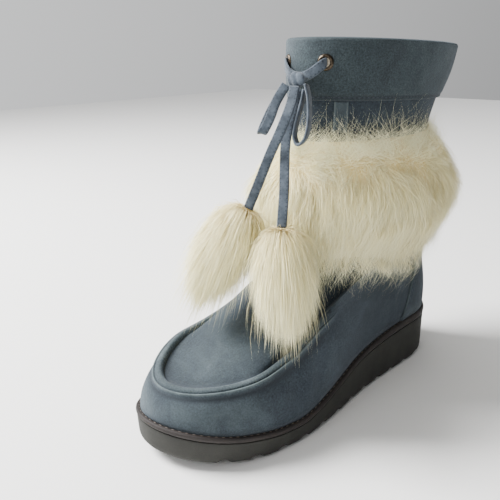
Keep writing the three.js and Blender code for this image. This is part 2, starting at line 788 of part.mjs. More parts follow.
// Pull loop: a strip folded into a flat ring, sewn on at the back of the cuff and leaning with it.
function pullLoop() {
  const radius = loopDepth / 2;
  const flat = (inset) => {
    const outline = new THREE.Shape();
    const r = radius - inset;
    outline.absarc(0, -loopHeight / 2 + radius, r, Math.PI, 2 * Math.PI, false);
    outline.absarc(0, loopHeight / 2 - radius, r, 0, Math.PI, false);
    outline.closePath();
    return outline;
  };
  const strip = flat(0);
  strip.holes.push(flat(loopWall));
  const low = shaftPoint(0, shaftShare(cuffEdgeHeight));
  const high = shaftPoint(0, 1);
  const lean = Math.atan2(high.y - low.y, high.z - low.z);
  const body = new THREE.ExtrudeGeometry(strip, { depth: loopWidth, bevelEnabled: false, curveSegments: 5 });
  const across = new THREE.Vector3(1, 0, 0);
  const up = new THREE.Vector3(0, Math.sin(lean), Math.cos(lean));
  const back = up.clone().cross(across);
  const basis = new THREE.Matrix4().makeBasis(back, up, across);
  const seat = low.clone().lerp(high, 0.5);
  seat.addScaledVector(back, 2 * gap + cuffThickness + radius + gap);
  seat.x = -loopWidth / 2;
  return solidOf(body, basis.setPosition(seat));
}

// The lace, in points chosen by hand. It comes out of both eyelets to a knot, and from the knot hang
// two loops and two ends.
const eyeletMouths = eyeletPlaces.map(({ seat, normal }) => seat.clone().addScaledVector(normal, 3));

function laceBar() {
  const [outer, inner] = eyeletMouths.map((p) => p.toArray());
  const points = [outer, [9.5, -9.4, 236], [3, -9.7, 233.5], [-5, -9.7, 234.5], [-10, -9.1, 236.5], inner];
  return ribbon(points, [0, 0, 1], 10);
}

const knotPlace = [3, -15, 232.3];

function laceKnot() {
  const body = new THREE.SphereGeometry(1, 12, 8);
  const place = new THREE.Matrix4().makeScale(7.5, 4.2, 5.5).setPosition(...knotPlace);
  return solidOf(body, place);
}

const loopInner = [
  [-3.3, -18.2, 229.2],
  [-6.4, -24, 219.5],
  [-7.5, -29, 209],
  [-9.5, -32.6, 201.5],
  [-11.4, -33.2, 199.2],
  [-13, -30.5, 201],
  [-11.2, -25.5, 211],
  [-8.8, -20, 220.5],
  [-7.4, -14.8, 227.4],
];

const loopOuter = [
  [12.9, -17.4, 229.6],
  [16, -18.6, 222.4],
  [19.2, -21.5, 212.9],
  [21.6, -25.5, 203.6],
  [21.4, -28.5, 197.3],
  [18, -30.3, 194],
  [14.2, -29.5, 198],
  [12.8, -26.5, 206],
  [12.4, -22.5, 214.5],
  [11.4, -18.6, 221],
  [10.1, -15.8, 225.2],
];

const endInner = [
  [4.4, -18.9, 228.4],
  [7, -24.5, 220],
  [8.7, -31, 211.8],
  [7.3, -36, 201.6],
  [5, -43, 188],
  [0.4, -47.6, 172],
  [-3.4, -51.4, 159],
  [-4.4, -54, 153],
];

const endOuter = [
  [5.2, -15.2, 226.6],
  [5.8, -18.8, 219],
  [5.6, -25, 206.8],
  [8, -31.5, 193.1],
  [14.7, -40, 178.9],
  [19.6, -46, 164.7],
  [22.9, -51, 153.3],
  [24, -53, 145.5],
];

// The way that each strip's width runs. The loop on the outer side is seen nearly edge on.
const flatAcross = [0.85, 0.5, 0];
const edgeAcross = [0.35, -0.95, 0];

// Pompoms: a tuft that hangs from each end of the lace, with locks joined to it.
const pompomInner = { top: endInner.at(-1), hang: [-0.38, -0.42, -0.82] };
const pompomOuter = { top: endOuter.at(-1), hang: [0.1, -0.02, -1] };

const pompomRows = [
  { at: 0, wide: 0.1 },
  { at: 0.1, wide: 0.42 },
  { at: 0.28, wide: 0.8 },
  { at: 0.5, wide: 1 },
  { at: 0.72, wide: 0.94 },
  { at: 0.9, wide: 0.62 },
  { at: 1, wide: 0.2 },
];

function pompom({ top, hang }) {
  const down = new THREE.Vector3(...hang).normalize();
  const start = new THREE.Vector3(...top).addScaledVector(down, gap + laceThickness / 2);
  const across = new THREE.Vector3(0, 1, 0).cross(down).normalize();
  const aside = down.clone().cross(across);
  const length = pompomLength * 0.86;
  const around = (share, angle, wide) => {
    const reach = (pompomWidth / 2) * wide;
    return start.clone()
      .addScaledVector(down, length * share)
      .addScaledVector(across, reach * Math.cos(angle))
      .addScaledVector(aside, reach * Math.sin(angle));
  };
  const sides = 10;
  const rings = pompomRows.map((row) =>
    Array.from({ length: sides }, (_, i) => around(row.at, (i / sides) * 2 * Math.PI, row.wide)),
  );
  let body = stack(rings);
  const lockCount = 9;
  for (let i = 0; i < lockCount; i += 1) {
    const angle = (i / lockCount) * 2 * Math.PI;
    const share = 0.42 + 0.2 * (i % 2);
    const root = around(share, angle, 0.72);
    const out = around(share, angle, 1).sub(around(share, angle, 0)).normalize();
    const direction = down.clone().addScaledVector(out, 0.16);
    const tip = pompomLength * (1.02 - share) + 2 * Math.sin(i * 2.1);
    body = body.add(lock(root, direction, out.multiplyScalar(-0.1), tip, lockRadius));
  }
  return body;
}

// Materials.
const suede = new THREE.MeshStandardMaterial({ color: 0x53616c, roughness: 0.95, metalness: 0 });
const suedeLace = new THREE.MeshStandardMaterial({ color: 0x58626e, roughness: 0.95, metalness: 0 });
const soleRubber = new THREE.MeshStandardMaterial({ color: 0x3f403d, roughness: 0.8, metalness: 0 });
const weltLeather = new THREE.MeshStandardMaterial({ color: 0x463f3e, roughness: 0.75, metalness: 0 });
const lining = new THREE.MeshStandardMaterial({ color: 0xb9b2a4, roughness: 1, metalness: 0 });
const blackPatch = new THREE.MeshStandardMaterial({ color: 0x141414, roughness: 0.45, metalness: 0 });
const agedBrass = new THREE.MeshStandardMaterial({ color: 0x6b6256, roughness: 0.4, metalness: 1 });
const creamFur = new THREE.MeshStandardMaterial({ color: 0xd9d3bd, roughness: 1, metalness: 0 });

// The pieces, in the order a maker puts them together.
const boot = new THREE.Group();
const laceGroup = new THREE.Group();

function place(group, name, body, material) {
  const piece = new THREE.Mesh(geometryOf(body), material);
  piece.name = name;
  group.add(piece);
}

place(boot, "outsole", outsole(), soleRubber);
place(boot, "welt", welt(), weltLeather);
place(boot, "insole", insole(), lining);
place(boot, "upper", upper(), suede);
place(boot, "counter", counter(), suede);
place(boot, "heel_badge", heelBadge(), blackPatch);
place(boot, "cuff", cuff(), suede);
place(boot, "seam_tape_outer", seamTape(1), suede);
place(boot, "seam_tape_inner", seamTape(-1), suede);
place(boot, "pull_loop", pullLoop(), suede);
place(boot, "eyelet_outer", eyelet(eyeletPlaces[0]), agedBrass);
place(boot, "eyelet_inner", eyelet(eyeletPlaces[1]), agedBrass);
place(boot, "fur_band", furBand(), creamFur);

place(laceGroup, "lace_bar", laceBar(), suedeLace);
place(laceGroup, "lace_knot", laceKnot(), suedeLace);
place(laceGroup, "lace_loop_outer", ribbon(loopOuter, edgeAcross, 14), suedeLace);
place(laceGroup, "lace_loop_inner", ribbon(loopInner, flatAcross, 12), suedeLace);
place(laceGroup, "lace_end_outer", ribbon(endOuter, flatAcross, 12), suedeLace);
place(laceGroup, "lace_end_inner", ribbon(endInner, flatAcross, 12), suedeLace);
place(laceGroup, "pompom_outer", pompom(pompomOuter), creamFur);
place(laceGroup, "pompom_inner", pompom(pompomInner), creamFur);

// The origin is under the middle of the boot's own outline, the hanging lace left out.
const outline = new THREE.Box3().setFromObject(boot);
const middle = outline.getCenter(new THREE.Vector3());
boot.add(laceGroup);
boot.position.set(-middle.x, -middle.y, -outline.min.z);

export default boot;
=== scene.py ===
# %% [markdown]
# A suede ankle boot with a fur band
#
# The object is one left ankle boot: blue-grey suede on a dark wedge sole, a moccasin apron with a
# raised roll, a folded cuff, a deep cream fur band and a flat suede lace that ends in two fur
# pompoms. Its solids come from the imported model, which gives each piece its place. Here each piece
# is made again as a smooth surface and gets its material, its stitches and its hair.
#
# Sizes are in millimetres in the formulas, as a boot maker would write them, and become metres
# when a mesh is made.

import bmesh
import bpy
import numpy as np
from mathutils import Matrix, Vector
from mathutils.bvhtree import BVHTree


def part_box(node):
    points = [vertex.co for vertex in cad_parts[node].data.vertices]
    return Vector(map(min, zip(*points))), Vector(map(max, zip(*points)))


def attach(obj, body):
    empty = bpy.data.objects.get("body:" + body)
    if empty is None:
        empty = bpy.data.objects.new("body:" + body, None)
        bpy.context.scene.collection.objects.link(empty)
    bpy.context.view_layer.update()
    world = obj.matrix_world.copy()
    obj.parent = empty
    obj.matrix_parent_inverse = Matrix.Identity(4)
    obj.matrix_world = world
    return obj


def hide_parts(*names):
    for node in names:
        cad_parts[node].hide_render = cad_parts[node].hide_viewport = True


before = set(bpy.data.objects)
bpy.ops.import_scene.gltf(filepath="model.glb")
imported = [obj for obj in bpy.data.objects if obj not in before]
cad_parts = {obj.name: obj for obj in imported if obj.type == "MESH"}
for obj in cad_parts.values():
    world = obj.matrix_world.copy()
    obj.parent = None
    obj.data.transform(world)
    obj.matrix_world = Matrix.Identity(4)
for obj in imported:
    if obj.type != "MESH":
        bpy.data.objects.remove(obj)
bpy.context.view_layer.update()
print("nodes", len(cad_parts))

# %% [markdown]
# Small tools
#
# A colour is written as the sRGB hex value that an eye-dropper would give, and one function turns
# it to the linear values that a shader works in. One more function adds a node with its settings
# and its links, so that a material reads as a list of what it is made of.

# %% Colours and nodes
def linear(hex_value):
    """Each sRGB channel c becomes c / 12.92 below 0.04045, and ((c + 0.055) / 1.055) ** 2.4 above."""
    c = np.array([int(hex_value[i : i + 2], 16) / 255 for i in (1, 3, 5)])
    c = np.where(c <= 0.04045, c / 12.92, ((c + 0.055) / 1.055) ** 2.4)
    return (float(c[0]), float(c[1]), float(c[2]), 1.0)


def add(tree, kind, sockets=None, **settings):
    """Adds one node. A socket's value is a constant, or another node's output, which is linked."""
    node = tree.nodes.new(kind)
    for name, value in settings.items():
        setattr(node, name, value)
    for key, value in (sockets or {}).items():
        if isinstance(value, bpy.types.NodeSocket):
            tree.links.new(value, node.inputs[key])
        else:
            node.inputs[key].default_value = value
    return node


def new_material(name):
    material = bpy.data.materials.new(name)
    material.use_nodes = True
    material.node_tree.nodes.clear()
    return material, material.node_tree


def finish(tree, sockets):
    """Closes a material with one principled shader."""
    shader = add(tree, "ShaderNodeBsdfPrincipled", sockets)
    add(tree, "ShaderNodeOutputMaterial", {"Surface": shader.outputs[0]})


def place_in(tree):
    return add(tree, "ShaderNodeTexCoord").outputs["Object"]


def value_of(tree, name):
    return add(tree, "ShaderNodeAttribute", attribute_name=name).outputs["Fac"]


def noise(tree, place, scale, detail, roughness=0.5, **more):
    sockets = {"Vector": place, "Scale": scale, "Detail": detail, "Roughness": roughness}
    return add(tree, "ShaderNodeTexNoise", {**sockets, **more}).outputs["Fac"]


def calc(tree, operation, a, b=0.0, **settings):
    return add(tree, "ShaderNodeMath", {0: a, 1: b}, operation=operation, **settings).outputs[0]


def span(tree, value, start, end, low=0.0, high=1.0):
    """Maps start to end onto low to high, and holds it there."""
    return add(tree, "ShaderNodeMapRange", {"Value": value, 1: start, 2: end, 3: low, 4: high}).outputs[0]


def mix(tree, share, a, b, blend="MIX"):
    return add(tree, "ShaderNodeMix", {0: share, 6: a, 7: b}, data_type="RGBA", blend_type=blend).outputs[2]


def scaled(tree, colour, value):
    """A colour times one value."""
    grey = add(tree, "ShaderNodeCombineColor", {0: value, 1: value, 2: value}).outputs[0]
    return mix(tree, 1.0, colour, grey, "MULTIPLY")


def ramp(tree, value, stops):
    """Colours along a value. Each stop is a place and a hex colour, in order."""
    node = add(tree, "ShaderNodeValToRGB", {"Fac": value})
    elements = node.color_ramp.elements
    for k, (place, colour) in enumerate((stops[0], stops[-1])):
        elements[k].position, elements[k].color = place, linear(colour)
    for place, colour in stops[1:-1]:
        elements.new(place).color = linear(colour)
    return node.outputs["Color"]


def relief_of(tree, height, strength, distance):
    sockets = {"Height": height, "Strength": strength, "Distance": distance}
    return add(tree, "ShaderNodeBump", sockets).outputs[0]


# %% Meshes from arrays
def signed_volume(points, faces):
    """Sums a . (b x c) / 6 over the triangles of every face."""
    total = 0.0
    for f in faces:
        for k in range(1, f.shape[1] - 1):
            a, b, c = points[f[:, 0]], points[f[:, k]], points[f[:, k + 1]]
            total += np.einsum("ij,ij->", a, np.cross(b, c)) / 6
    return total


def make_piece(name, points, faces, materials, values=None, closed=True, sharp=None, slots=None):
    """Makes a mesh of points in millimetres. A closed mesh whose volume is negative is turned round."""
    points = np.asarray(points, dtype=float).reshape(-1, 3)
    if closed and signed_volume(points, faces) < 0:
        faces = [f[:, ::-1] for f in faces]
    mesh = bpy.data.meshes.new(name)
    loops = np.concatenate([f.ravel() for f in faces]).astype(np.int32)
    totals = np.concatenate([np.full(len(f), f.shape[1]) for f in faces])
    starts = np.concatenate([[0], np.cumsum(totals)[:-1]]).astype(np.int32)
    mesh.vertices.add(len(points))
    mesh.vertices.foreach_set("co", (points * 0.001).astype(np.float32).ravel())
    mesh.loops.add(len(loops))
    mesh.loops.foreach_set("vertex_index", loops)
    mesh.polygons.add(len(totals))
    mesh.polygons.foreach_set("loop_start", starts)
    if slots is not None:
        mesh.polygons.foreach_set("material_index", np.asarray(slots, dtype=np.int32))
    mesh.update(calc_edges=True)
    for key, value in (values or {}).items():
        layer = mesh.attributes.new(key, "FLOAT", "POINT")
        layer.data.foreach_set("value", np.asarray(value, dtype=np.float32).ravel())
    mesh.shade_smooth()
    if sharp is not None:
        mesh.set_sharp_from_angle(angle=np.radians(sharp))
    for material in materials if isinstance(materials, (list, tuple)) else [materials]:
        mesh.materials.append(material)
    piece = bpy.data.objects.new(name, mesh)
    bpy.context.scene.collection.objects.link(piece)
    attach(piece, "root")
    return piece


def stand_in(piece, node):
    """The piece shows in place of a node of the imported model."""
    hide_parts(node)


def grid_faces(rows, cols, around=True, over=False, start=0):
    """Quads of a grid whose point (r, c) has the number start + r * cols + c."""
    r = np.arange(rows if over else rows - 1)[:, None]
    c = np.arange(cols if around else cols - 1)[None, :]
    r2, c2 = (r + 1) % rows, (c + 1) % cols
    quads = np.stack([r * cols + c, r * cols + c2, r2 * cols + c2, r2 * cols + c], axis=-1)
    return quads.reshape(-1, 4) + start


def slab(outer, inner):
    """A closed shell between two open grids of the same size, with strips round its four edges."""
    rows, cols = outer.shape[:2]
    count = rows * cols
    points = np.concatenate([outer.reshape(-1, 3), inner.reshape(-1, 3)])
    front = grid_faces(rows, cols, around=False)
    back = grid_faces(rows, cols, around=False, start=count)[:, ::-1]
    rim = np.concatenate(
        [
            np.arange(cols),
            np.arange(1, rows) * cols + cols - 1,
            (rows - 1) * cols + np.arange(cols - 1)[::-1],
            np.arange(1, rows - 1)[::-1] * cols,
        ]
    )
    nxt = np.roll(rim, -1)
    side = np.stack([rim, rim + count, nxt + count, nxt], axis=-1)
    return points, [front, back, side]


def fan(ring, tip, turned=False):
    """Triangles between a ring of point numbers and one more point."""
    ahead = np.roll(ring, -1)
    pair = (ring, ahead) if turned else (ahead, ring)
    return np.stack([*pair, np.full(len(ring), tip)], axis=-1)


def unit(v):
    return v / np.maximum(np.linalg.norm(v, axis=-1, keepdims=True), 1e-9)


# %% [markdown]
# The last
#
# A boot is built round a last, and every piece of this one follows from a few functions of it: the
# foot's outline on the sole, the height of the sole along the foot, and the rings of the shaft.
# They are the same as in the model's source, worked out here for whole arrays at once. `turn` runs
# once round the foot from the heel: the outer side first, then the toe, then the inner side.

# %% Driving sizes
SOLE_LENGTH, BALL_WIDTH, WAIST_WIDTH, HEEL_WIDTH = 275.0, 98.8, 79.4, 77.2
ARCH_INSET, TOE_CURVE = 4.0, 15.0
HEEL_HEIGHT, WAIST_HEIGHT, BALL_HEIGHT, TOE_THICKNESS = 35.0, 28.6, 13.8, 17.9
TOE_SPRING, HEEL_BEVEL, LUG_PITCH, LUG_DEPTH = 7.8, 5.0, 19.5, 2.2
WELT_AT_HEEL, WELT_AT_TOE, WELT_WIDTH = 6.6, 4.0, 6.6
WALL, FEATHER_INSET, SIDE_BULGE, HEEL_BULGE = 3.0, 2.3, 2.4, 1.2
ROLL_WIDTH, ROLL_PROUD = 7.5, 2.4
THROAT_HEIGHT, THROAT_WIDTH, THROAT_BACK_INSET, THROAT_LENGTH = 103.0, 84.0, 10.5, 147.0
RIM_BACK, RIM_FRONT, RIM_WIDTH, RIM_OVERHANG, RIM_LENGTH = 249.0, 256.0, 93.0, 21.0, 161.0
CUFF_EDGE, CUFF_THICK = 216.0, 2.4
FUR_DEPTH, FUR_TOP, FUR_SKIRT, FUR_FRONT_RISE = 27.0, 192.0, 98.0, 17.0
EYELET_SPACING, EYELET_HEIGHT, EYELET_HOLE, EYELET_WIDTH = 28.0, 239.5, 6.0, 10.6
LACE_WIDTH, LACE_THICK = 6.5, 1.8
GAP = 0.3
HEEL_TURN, BALL_TURN, HEEL_ROUND, TOE_ROUND, HEEL_POWER, TOE_POWER = 0.19, 0.7, 0.16, 0.26, 2.2, 2.3
HEEL_BACK = SOLE_LENGTH / 2


def ease(value, start, end):
    t = np.clip((value - start) / (end - start), 0, 1)
    return t * t * (3 - 2 * t)


def lerp(a, b, t):
    return a + (b - a) * t


def curve(rows, at):
    """A smooth cubic through rows of (place, value). Its slope at a row is that of its neighbours' line."""
    x, y = np.array(rows, dtype=float).T
    at = np.clip(np.asarray(at, dtype=float), x[0], x[-1])
    last = len(x) - 1
    before, after = np.maximum(np.arange(last + 1) - 1, 0), np.minimum(np.arange(last + 1) + 1, last)
    slope = (y[after] - y[before]) / (x[after] - x[before])
    i = np.clip(np.searchsorted(x, at, side="left") - 1, 0, last - 1)
    step = x[i + 1] - x[i]
    t = (at - x[i]) / step
    rise = y[i + 1] - y[i]
    first, second = slope[i] * step, slope[i + 1] * step
    return y[i] + t * (first + t * (3 * rise - 2 * first - second + t * (first + second - 2 * rise)))


# %% Tables of the last
WIDTHS = [
    (HEEL_ROUND, HEEL_WIDTH / 2),
    (0.42, WAIST_WIDTH / 2),
    (0.68, BALL_WIDTH / 2),
    (1 - TOE_ROUND, BALL_WIDTH / 2),
]
THICKNESSES = [
    (0, HEEL_HEIGHT),
    (0.25, HEEL_HEIGHT * 0.97),
    (0.45, WAIST_HEIGHT),
    (0.68, BALL_HEIGHT),
    (0.84, lerp(BALL_HEIGHT, TOE_THICKNESS, 0.3)),
    (1, TOE_THICKNESS),
]
ROLL_AT = [0, 0.16, 0.4, 0.52, 0.6, 0.68, 0.75, 0.84, 1]
OUTER_IN = list(zip(ROLL_AT, [0.055, 0.05, 0.03, 0.03, 0.045, 0.075, 0.08, 0.07, 0.09]))
INNER_IN = list(zip(ROLL_AT, [0.055, 0.05, 0.04, 0.06, 0.08, 0.085, 0.085, 0.085, 0.09]))
OUTER_UP = list(zip(ROLL_AT, [0.8, 0.81, 0.83, 0.8, 0.72, 0.6, 0.535, 0.5, 0.46]))
INNER_UP = list(zip(ROLL_AT, [0.8, 0.81, 0.83, 0.8, 0.73, 0.64, 0.6, 0.57, 0.46]))
ROLL_TOE_INSET = 0.115
TURNS = [(0, 0), (0.19, 0.26), (0.45, 0.54), (0.7, 0.76), (1, 1)]
SHAFT_AT = [0, 0.12, 0.31, 0.5, 0.62, 0.76, 0.88, 1]
SHAFT_FRONT = list(zip(SHAFT_AT, [0, 0.45, 0.72, 0.81, 0.87, 0.92, 0.96, 1]))
SHAFT_BACK = list(zip(SHAFT_AT, [0, 0.03, 0.12, 0.19, 0.33, 0.68, 0.85, 1]))
SHAFT_WIDTH = list(zip(SHAFT_AT, [0, 0, -0.15, -0.3, -0.3, 0, 0.5, 1]))
SHAFT_ROUND = list(zip(SHAFT_AT, [2, 2, 1.9, 1.8, 1.7, 1.7, 1.85, 2]))


# %% The foot's outline, the sole's heights and the shaft's rings
def side_of(turn):
    return np.where(turn < 0.5, 1.0, -1.0)


def share_of(turn):
    return np.where(turn < 0.5, 2 * turn, 2 - 2 * turn)


def power(base, exponent):
    return np.maximum(base, 0) ** exponent


def foot_edge(turn, inset, end_inset):
    """The outline in plan: superellipse rounds at heel and toe, joined by the width table."""
    turn = np.asarray(turn, dtype=float)
    side, share = side_of(turn), share_of(turn)
    a = np.clip(share / HEEL_TURN, 0, 1) * np.pi / 2
    b = np.clip((share - BALL_TURN) / (1 - BALL_TURN), 0, 1) * np.pi / 2
    step = np.clip((share - HEEL_TURN) / (BALL_TURN - HEEL_TURN), 0, 1)
    heel_reach = HEEL_ROUND * SOLE_LENGTH - end_inset
    toe_reach = TOE_ROUND * SOLE_LENGTH - end_inset
    along_heel = HEEL_ROUND * SOLE_LENGTH - heel_reach * power(np.cos(a), 2 / HEEL_POWER)
    along_side = lerp(HEEL_ROUND, 1 - TOE_ROUND, step) * SOLE_LENGTH
    along_toe = (1 - TOE_ROUND) * SOLE_LENGTH + toe_reach * power(np.sin(b), 2 / TOE_POWER)
    half_heel = (HEEL_WIDTH / 2 - inset) * power(np.sin(a), 2 / HEEL_POWER)
    half_side = curve(WIDTHS, along_side / SOLE_LENGTH) - inset
    half_toe = (BALL_WIDTH / 2 - inset) * power(np.cos(b), 1)
    is_heel, is_toe = share < HEEL_TURN, share >= BALL_TURN
    along = np.where(is_heel, along_heel, np.where(is_toe, along_toe, along_side))
    half = np.where(is_heel, half_heel, np.where(is_toe, half_toe, half_side))
    place = along / SOLE_LENGTH
    arch = np.where(side < 0, ARCH_INSET * ease(place, 0.2, 0.42) * (1 - ease(place, 0.42, 0.66)), 0)
    lean = TOE_CURVE * power((place - 0.5) / 0.5, 1.5)
    return side * (half - arch) - lean, HEEL_BACK - along, place


def spring(place):
    return TOE_SPRING * power((place - 0.72) / 0.28, 2)


def sole_bottom(place):
    return spring(place) + HEEL_BEVEL * power(1 - place / 0.05, 1.5)


def sole_top(place):
    return curve(THICKNESSES, place) + spring(place)


def welt_top(place):
    return sole_top(place) + lerp(WELT_AT_HEEL, WELT_AT_TOE, ease(place, 0.1, 0.6))


def foot_ring(turn, inset, height):
    """A ring on the foot's outline, whose height is a function of the place along the sole."""
    x, y, place = foot_edge(turn, inset, inset)
    return np.stack([x, y, height(place)], axis=-1)


def shaft_point(turn, up):
    """The shaft's ring at share `up`: a superellipse with its own front, back, width and fullness."""
    turn, up = np.broadcast_arrays(np.asarray(turn, dtype=float), np.asarray(up, dtype=float))
    around = curve(TURNS, share_of(turn)) * np.pi
    throat_back, rim_back = HEEL_BACK - THROAT_BACK_INSET, HEEL_BACK + RIM_OVERHANG
    back = lerp(throat_back, rim_back, curve(SHAFT_BACK, up))
    front = lerp(throat_back - THROAT_LENGTH, rim_back - RIM_LENGTH, curve(SHAFT_FRONT, up))
    half = lerp(THROAT_WIDTH, RIM_WIDTH, curve(SHAFT_WIDTH, up)) / 2
    middle = (front + back) / 2
    cos, sin = np.cos(around), np.sin(around)
    p = np.where(cos > 0, curve(SHAFT_ROUND, up), 2)
    y = middle + power(np.abs(cos), 2 / p) * np.sign(cos) * (back - middle)
    rim = lerp(RIM_BACK, RIM_FRONT, (back - y) / (back - front))
    return np.stack([side_of(turn) * half * power(sin, 2 / p), y, lerp(THROAT_HEIGHT, rim, up)], axis=-1)


def shaft_share(height):
    return (height - THROAT_HEIGHT) / ((RIM_BACK + RIM_FRONT) / 2 - THROAT_HEIGHT)


# %% The roll, the side wall and the vamp
def roll_fade(place):
    return ease(place, 0.54, 0.63)


def roll_point(turn, across):
    """A point of the apron's roll, from its outer foot (0) to its inner one (1)."""
    place = foot_edge(turn, 0, 0)[2]
    outer = side_of(turn) > 0
    fade = roll_fade(place)
    over = across * ROLL_WIDTH * fade
    inset = BALL_WIDTH * np.where(outer, curve(OUTER_IN, place), curve(INNER_IN, place)) + over
    end = np.where(place > 0.5, BALL_WIDTH * ROLL_TOE_INSET + over, inset)
    x, y, _ = foot_edge(turn, inset, end)
    up = np.where(outer, curve(OUTER_UP, place), curve(INNER_UP, place))
    return np.stack([x, y, THROAT_HEIGHT * up + across * lerp(9, 1.5, fade)], axis=-1)


def side_point(turn, up):
    """A point of the side wall, from the feather line (0) to the roll's foot (1), bulged outwards."""
    x, y, place = foot_edge(turn, FEATHER_INSET, FEATHER_INSET)
    foot = np.stack([x, y, welt_top(place) + GAP], axis=-1)
    x2, y2, _ = foot_edge(turn, 20, 20)
    out = unit(np.stack([x - x2, y - y2, np.zeros_like(x)], axis=-1))
    bulge = lerp(HEEL_BULGE, SIDE_BULGE, ease(place, 0.3, 0.6)) * np.sin(np.pi * up)
    return lerp(foot, roll_point(turn, 0), up) + out * bulge[..., None]


def vamp_point(turn, up):
    """A point between the roll's inner foot (0) and the throat (1), sagging a little at the toe."""
    start, end = roll_point(turn, 1), shaft_point(turn, 0)
    sag = lerp(1, 1.45, ease(share_of(turn), 0.55, 0.9))
    point = lerp(start, end, up)
    point[..., 2] = lerp(start[..., 2], end[..., 2], up**sag)
    return point


# %% The upper's surface as one fine grid
COLUMNS = 320
turns = np.arange(COLUMNS) / COLUMNS
outline_place = foot_edge(turns, 0, 0)[2]
side_ups = np.linspace(0, 1, 12)[:-1]
roll_ups = [0, 0.03, 0.08, 0.14, 0.2, 0.24, 0.28, 0.33, 0.4, 0.5, 0.6, 0.7, 0.8, 0.88, 0.94, 0.98, 1]
vamp_ups = np.linspace(0, 1, 15)[1:-1]
shaft_ups = np.linspace(0, 1, 46)
surface = np.array(
    [side_point(turns, u) for u in side_ups]
    + [roll_point(turns, u) for u in roll_ups]
    + [vamp_point(turns, u) for u in vamp_ups]
    + [shaft_point(turns, u) for u in shaft_ups]
)
ROLL_ROW = len(side_ups)
VAMP_ROW = ROLL_ROW + len(roll_ups)
SHAFT_ROW = VAMP_ROW + len(vamp_ups)
ROWS = len(surface)


def grid_normals(points):
    """The cross product of the grid's two directions, turned outwards at the heel."""
    around = np.roll(points, -1, axis=1) - np.roll(points, 1, axis=1)
    over = np.gradient(points, axis=0)
    out = unit(np.cross(around, over))
    return -out if out[0, 0, 1] < 0 else out


normals = grid_normals(surface)

# The vamp folds softly into the throat: the rows round the throat are eased into each other.
for _ in range(6):
    near = np.exp(-(((np.arange(ROWS) - SHAFT_ROW) / 5.0) ** 2))[:, None, None]
    smooth = (np.roll(surface, 1, axis=0) + np.roll(surface, -1, axis=0)) / 2
    smooth[0], smooth[-1] = surface[0], surface[-1]
    surface = surface + near * 0.5 * (smooth - surface)
print("upper's grid", surface.shape, "roll row", ROLL_ROW, "shaft row", SHAFT_ROW)


def sample(grid, row, turn):
    """Reads a grid between its rows and columns, with the columns going round."""
    row = np.clip(row, 0, len(grid) - 1.0001)
    col = (np.asarray(turn) % 1) * grid.shape[1]
    r, c = np.floor(row).astype(int), np.floor(col).astype(int)
    fr, fc = (row - r)[..., None], (col - c)[..., None]
    c0, c1 = c % grid.shape[1], (c + 1) % grid.shape[1]
    low = grid[r, c0] * (1 - fc) + grid[r, c1] * fc
    high = grid[r + 1, c0] * (1 - fc) + grid[r + 1, c1] * fc
    return low * (1 - fr) + high * fr


# %% [markdown]
# Where the boot stands
#
# The model's origin is under the middle of the boot. The formulas above put theirs under the middle
# of the sole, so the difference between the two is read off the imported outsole.

# %% Shift into the model's frame
sole_ring = foot_ring(turns, 0, sole_top)
sole_box = np.array(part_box("outsole")) * 1000
SHIFT = np.array([sole_box[0][0] - sole_ring[:, 0].min(), sole_box[0][1] - sole_ring[:, 1].min(), 0.0])
print("shift in mm", SHIFT.round(2))

# %% [markdown]
# Camera and light
#
# The camera stands where the photographer's did: it was worked out from the sole's and the apron's
# outlines. A 43 mm lens at about half a metre, 45 degrees off the toe's direction and 19 degrees
# down. The floor is plain and pale. The light is a large soft box over the toe's inner side, with a
# weak one in front of the toe.

# %% Camera
camera_right = np.array([0.70965, 0.70435, -0.01685])
camera_up = np.array([-0.21351, 0.23779, 0.94756])
camera_back = -np.array([-0.67142, 0.66884, -0.31914])
camera_place = np.array([265.1, -321.4, 252.7]) + SHIFT
camera_data = bpy.data.cameras.new("camera")
camera_data.sensor_width = 36.0
FOCAL_PIXELS, PICTURE_PIXELS = 602.42, 500
camera_data.lens = FOCAL_PIXELS / PICTURE_PIXELS * camera_data.sensor_width
camera_data.clip_start = 0.01
camera_data.clip_end = 20
camera = bpy.data.objects.new("camera", camera_data)
camera_matrix = np.eye(4)
camera_matrix[:3, 0], camera_matrix[:3, 1], camera_matrix[:3, 2] = camera_right, camera_up, camera_back
camera_matrix[:3, 3] = camera_place * 0.001
camera.matrix_world = Matrix(camera_matrix)
bpy.context.scene.collection.objects.link(camera)
bpy.context.scene.camera = camera

# %% Floor and lights
floor_material, tree = new_material("pale_studio_floor")
finish(tree, {"Base Color": linear("#f4f3f1"), "Roughness": 0.85})
FLOOR_HALF, FLOOR_DROP = 2500, -0.15
corners = [(-1, -1), (1, -1), (1, 1), (-1, 1)]
floor_points = np.array([[x * FLOOR_HALF, y * FLOOR_HALF, FLOOR_DROP] for x, y in corners])
floor = make_piece("floor", floor_points, [np.array([[0, 1, 2, 3]])], floor_material, closed=False)

world = bpy.data.worlds.new("soft_studio")
world.use_nodes = True
background = world.node_tree.nodes["Background"]
background.inputs["Color"].default_value = linear("#f6f7f8")
# The sky is brightest on the toe's inner side and falls off to the heel's outer side.
SKY_BRIGHT_WAY = (-0.78, -0.55, 0.3)
sky = world.node_tree
sky_way = add(sky, "ShaderNodeTexCoord").outputs["Generated"]
sky_turn = add(sky, "ShaderNodeVectorMath", {0: sky_way, 1: SKY_BRIGHT_WAY}, operation="DOT_PRODUCT")
sky.links.new(span(sky, sky_turn.outputs["Value"], -0.7, 0.6, 0.18, 1.0), background.inputs["Strength"])
bpy.context.scene.world = world


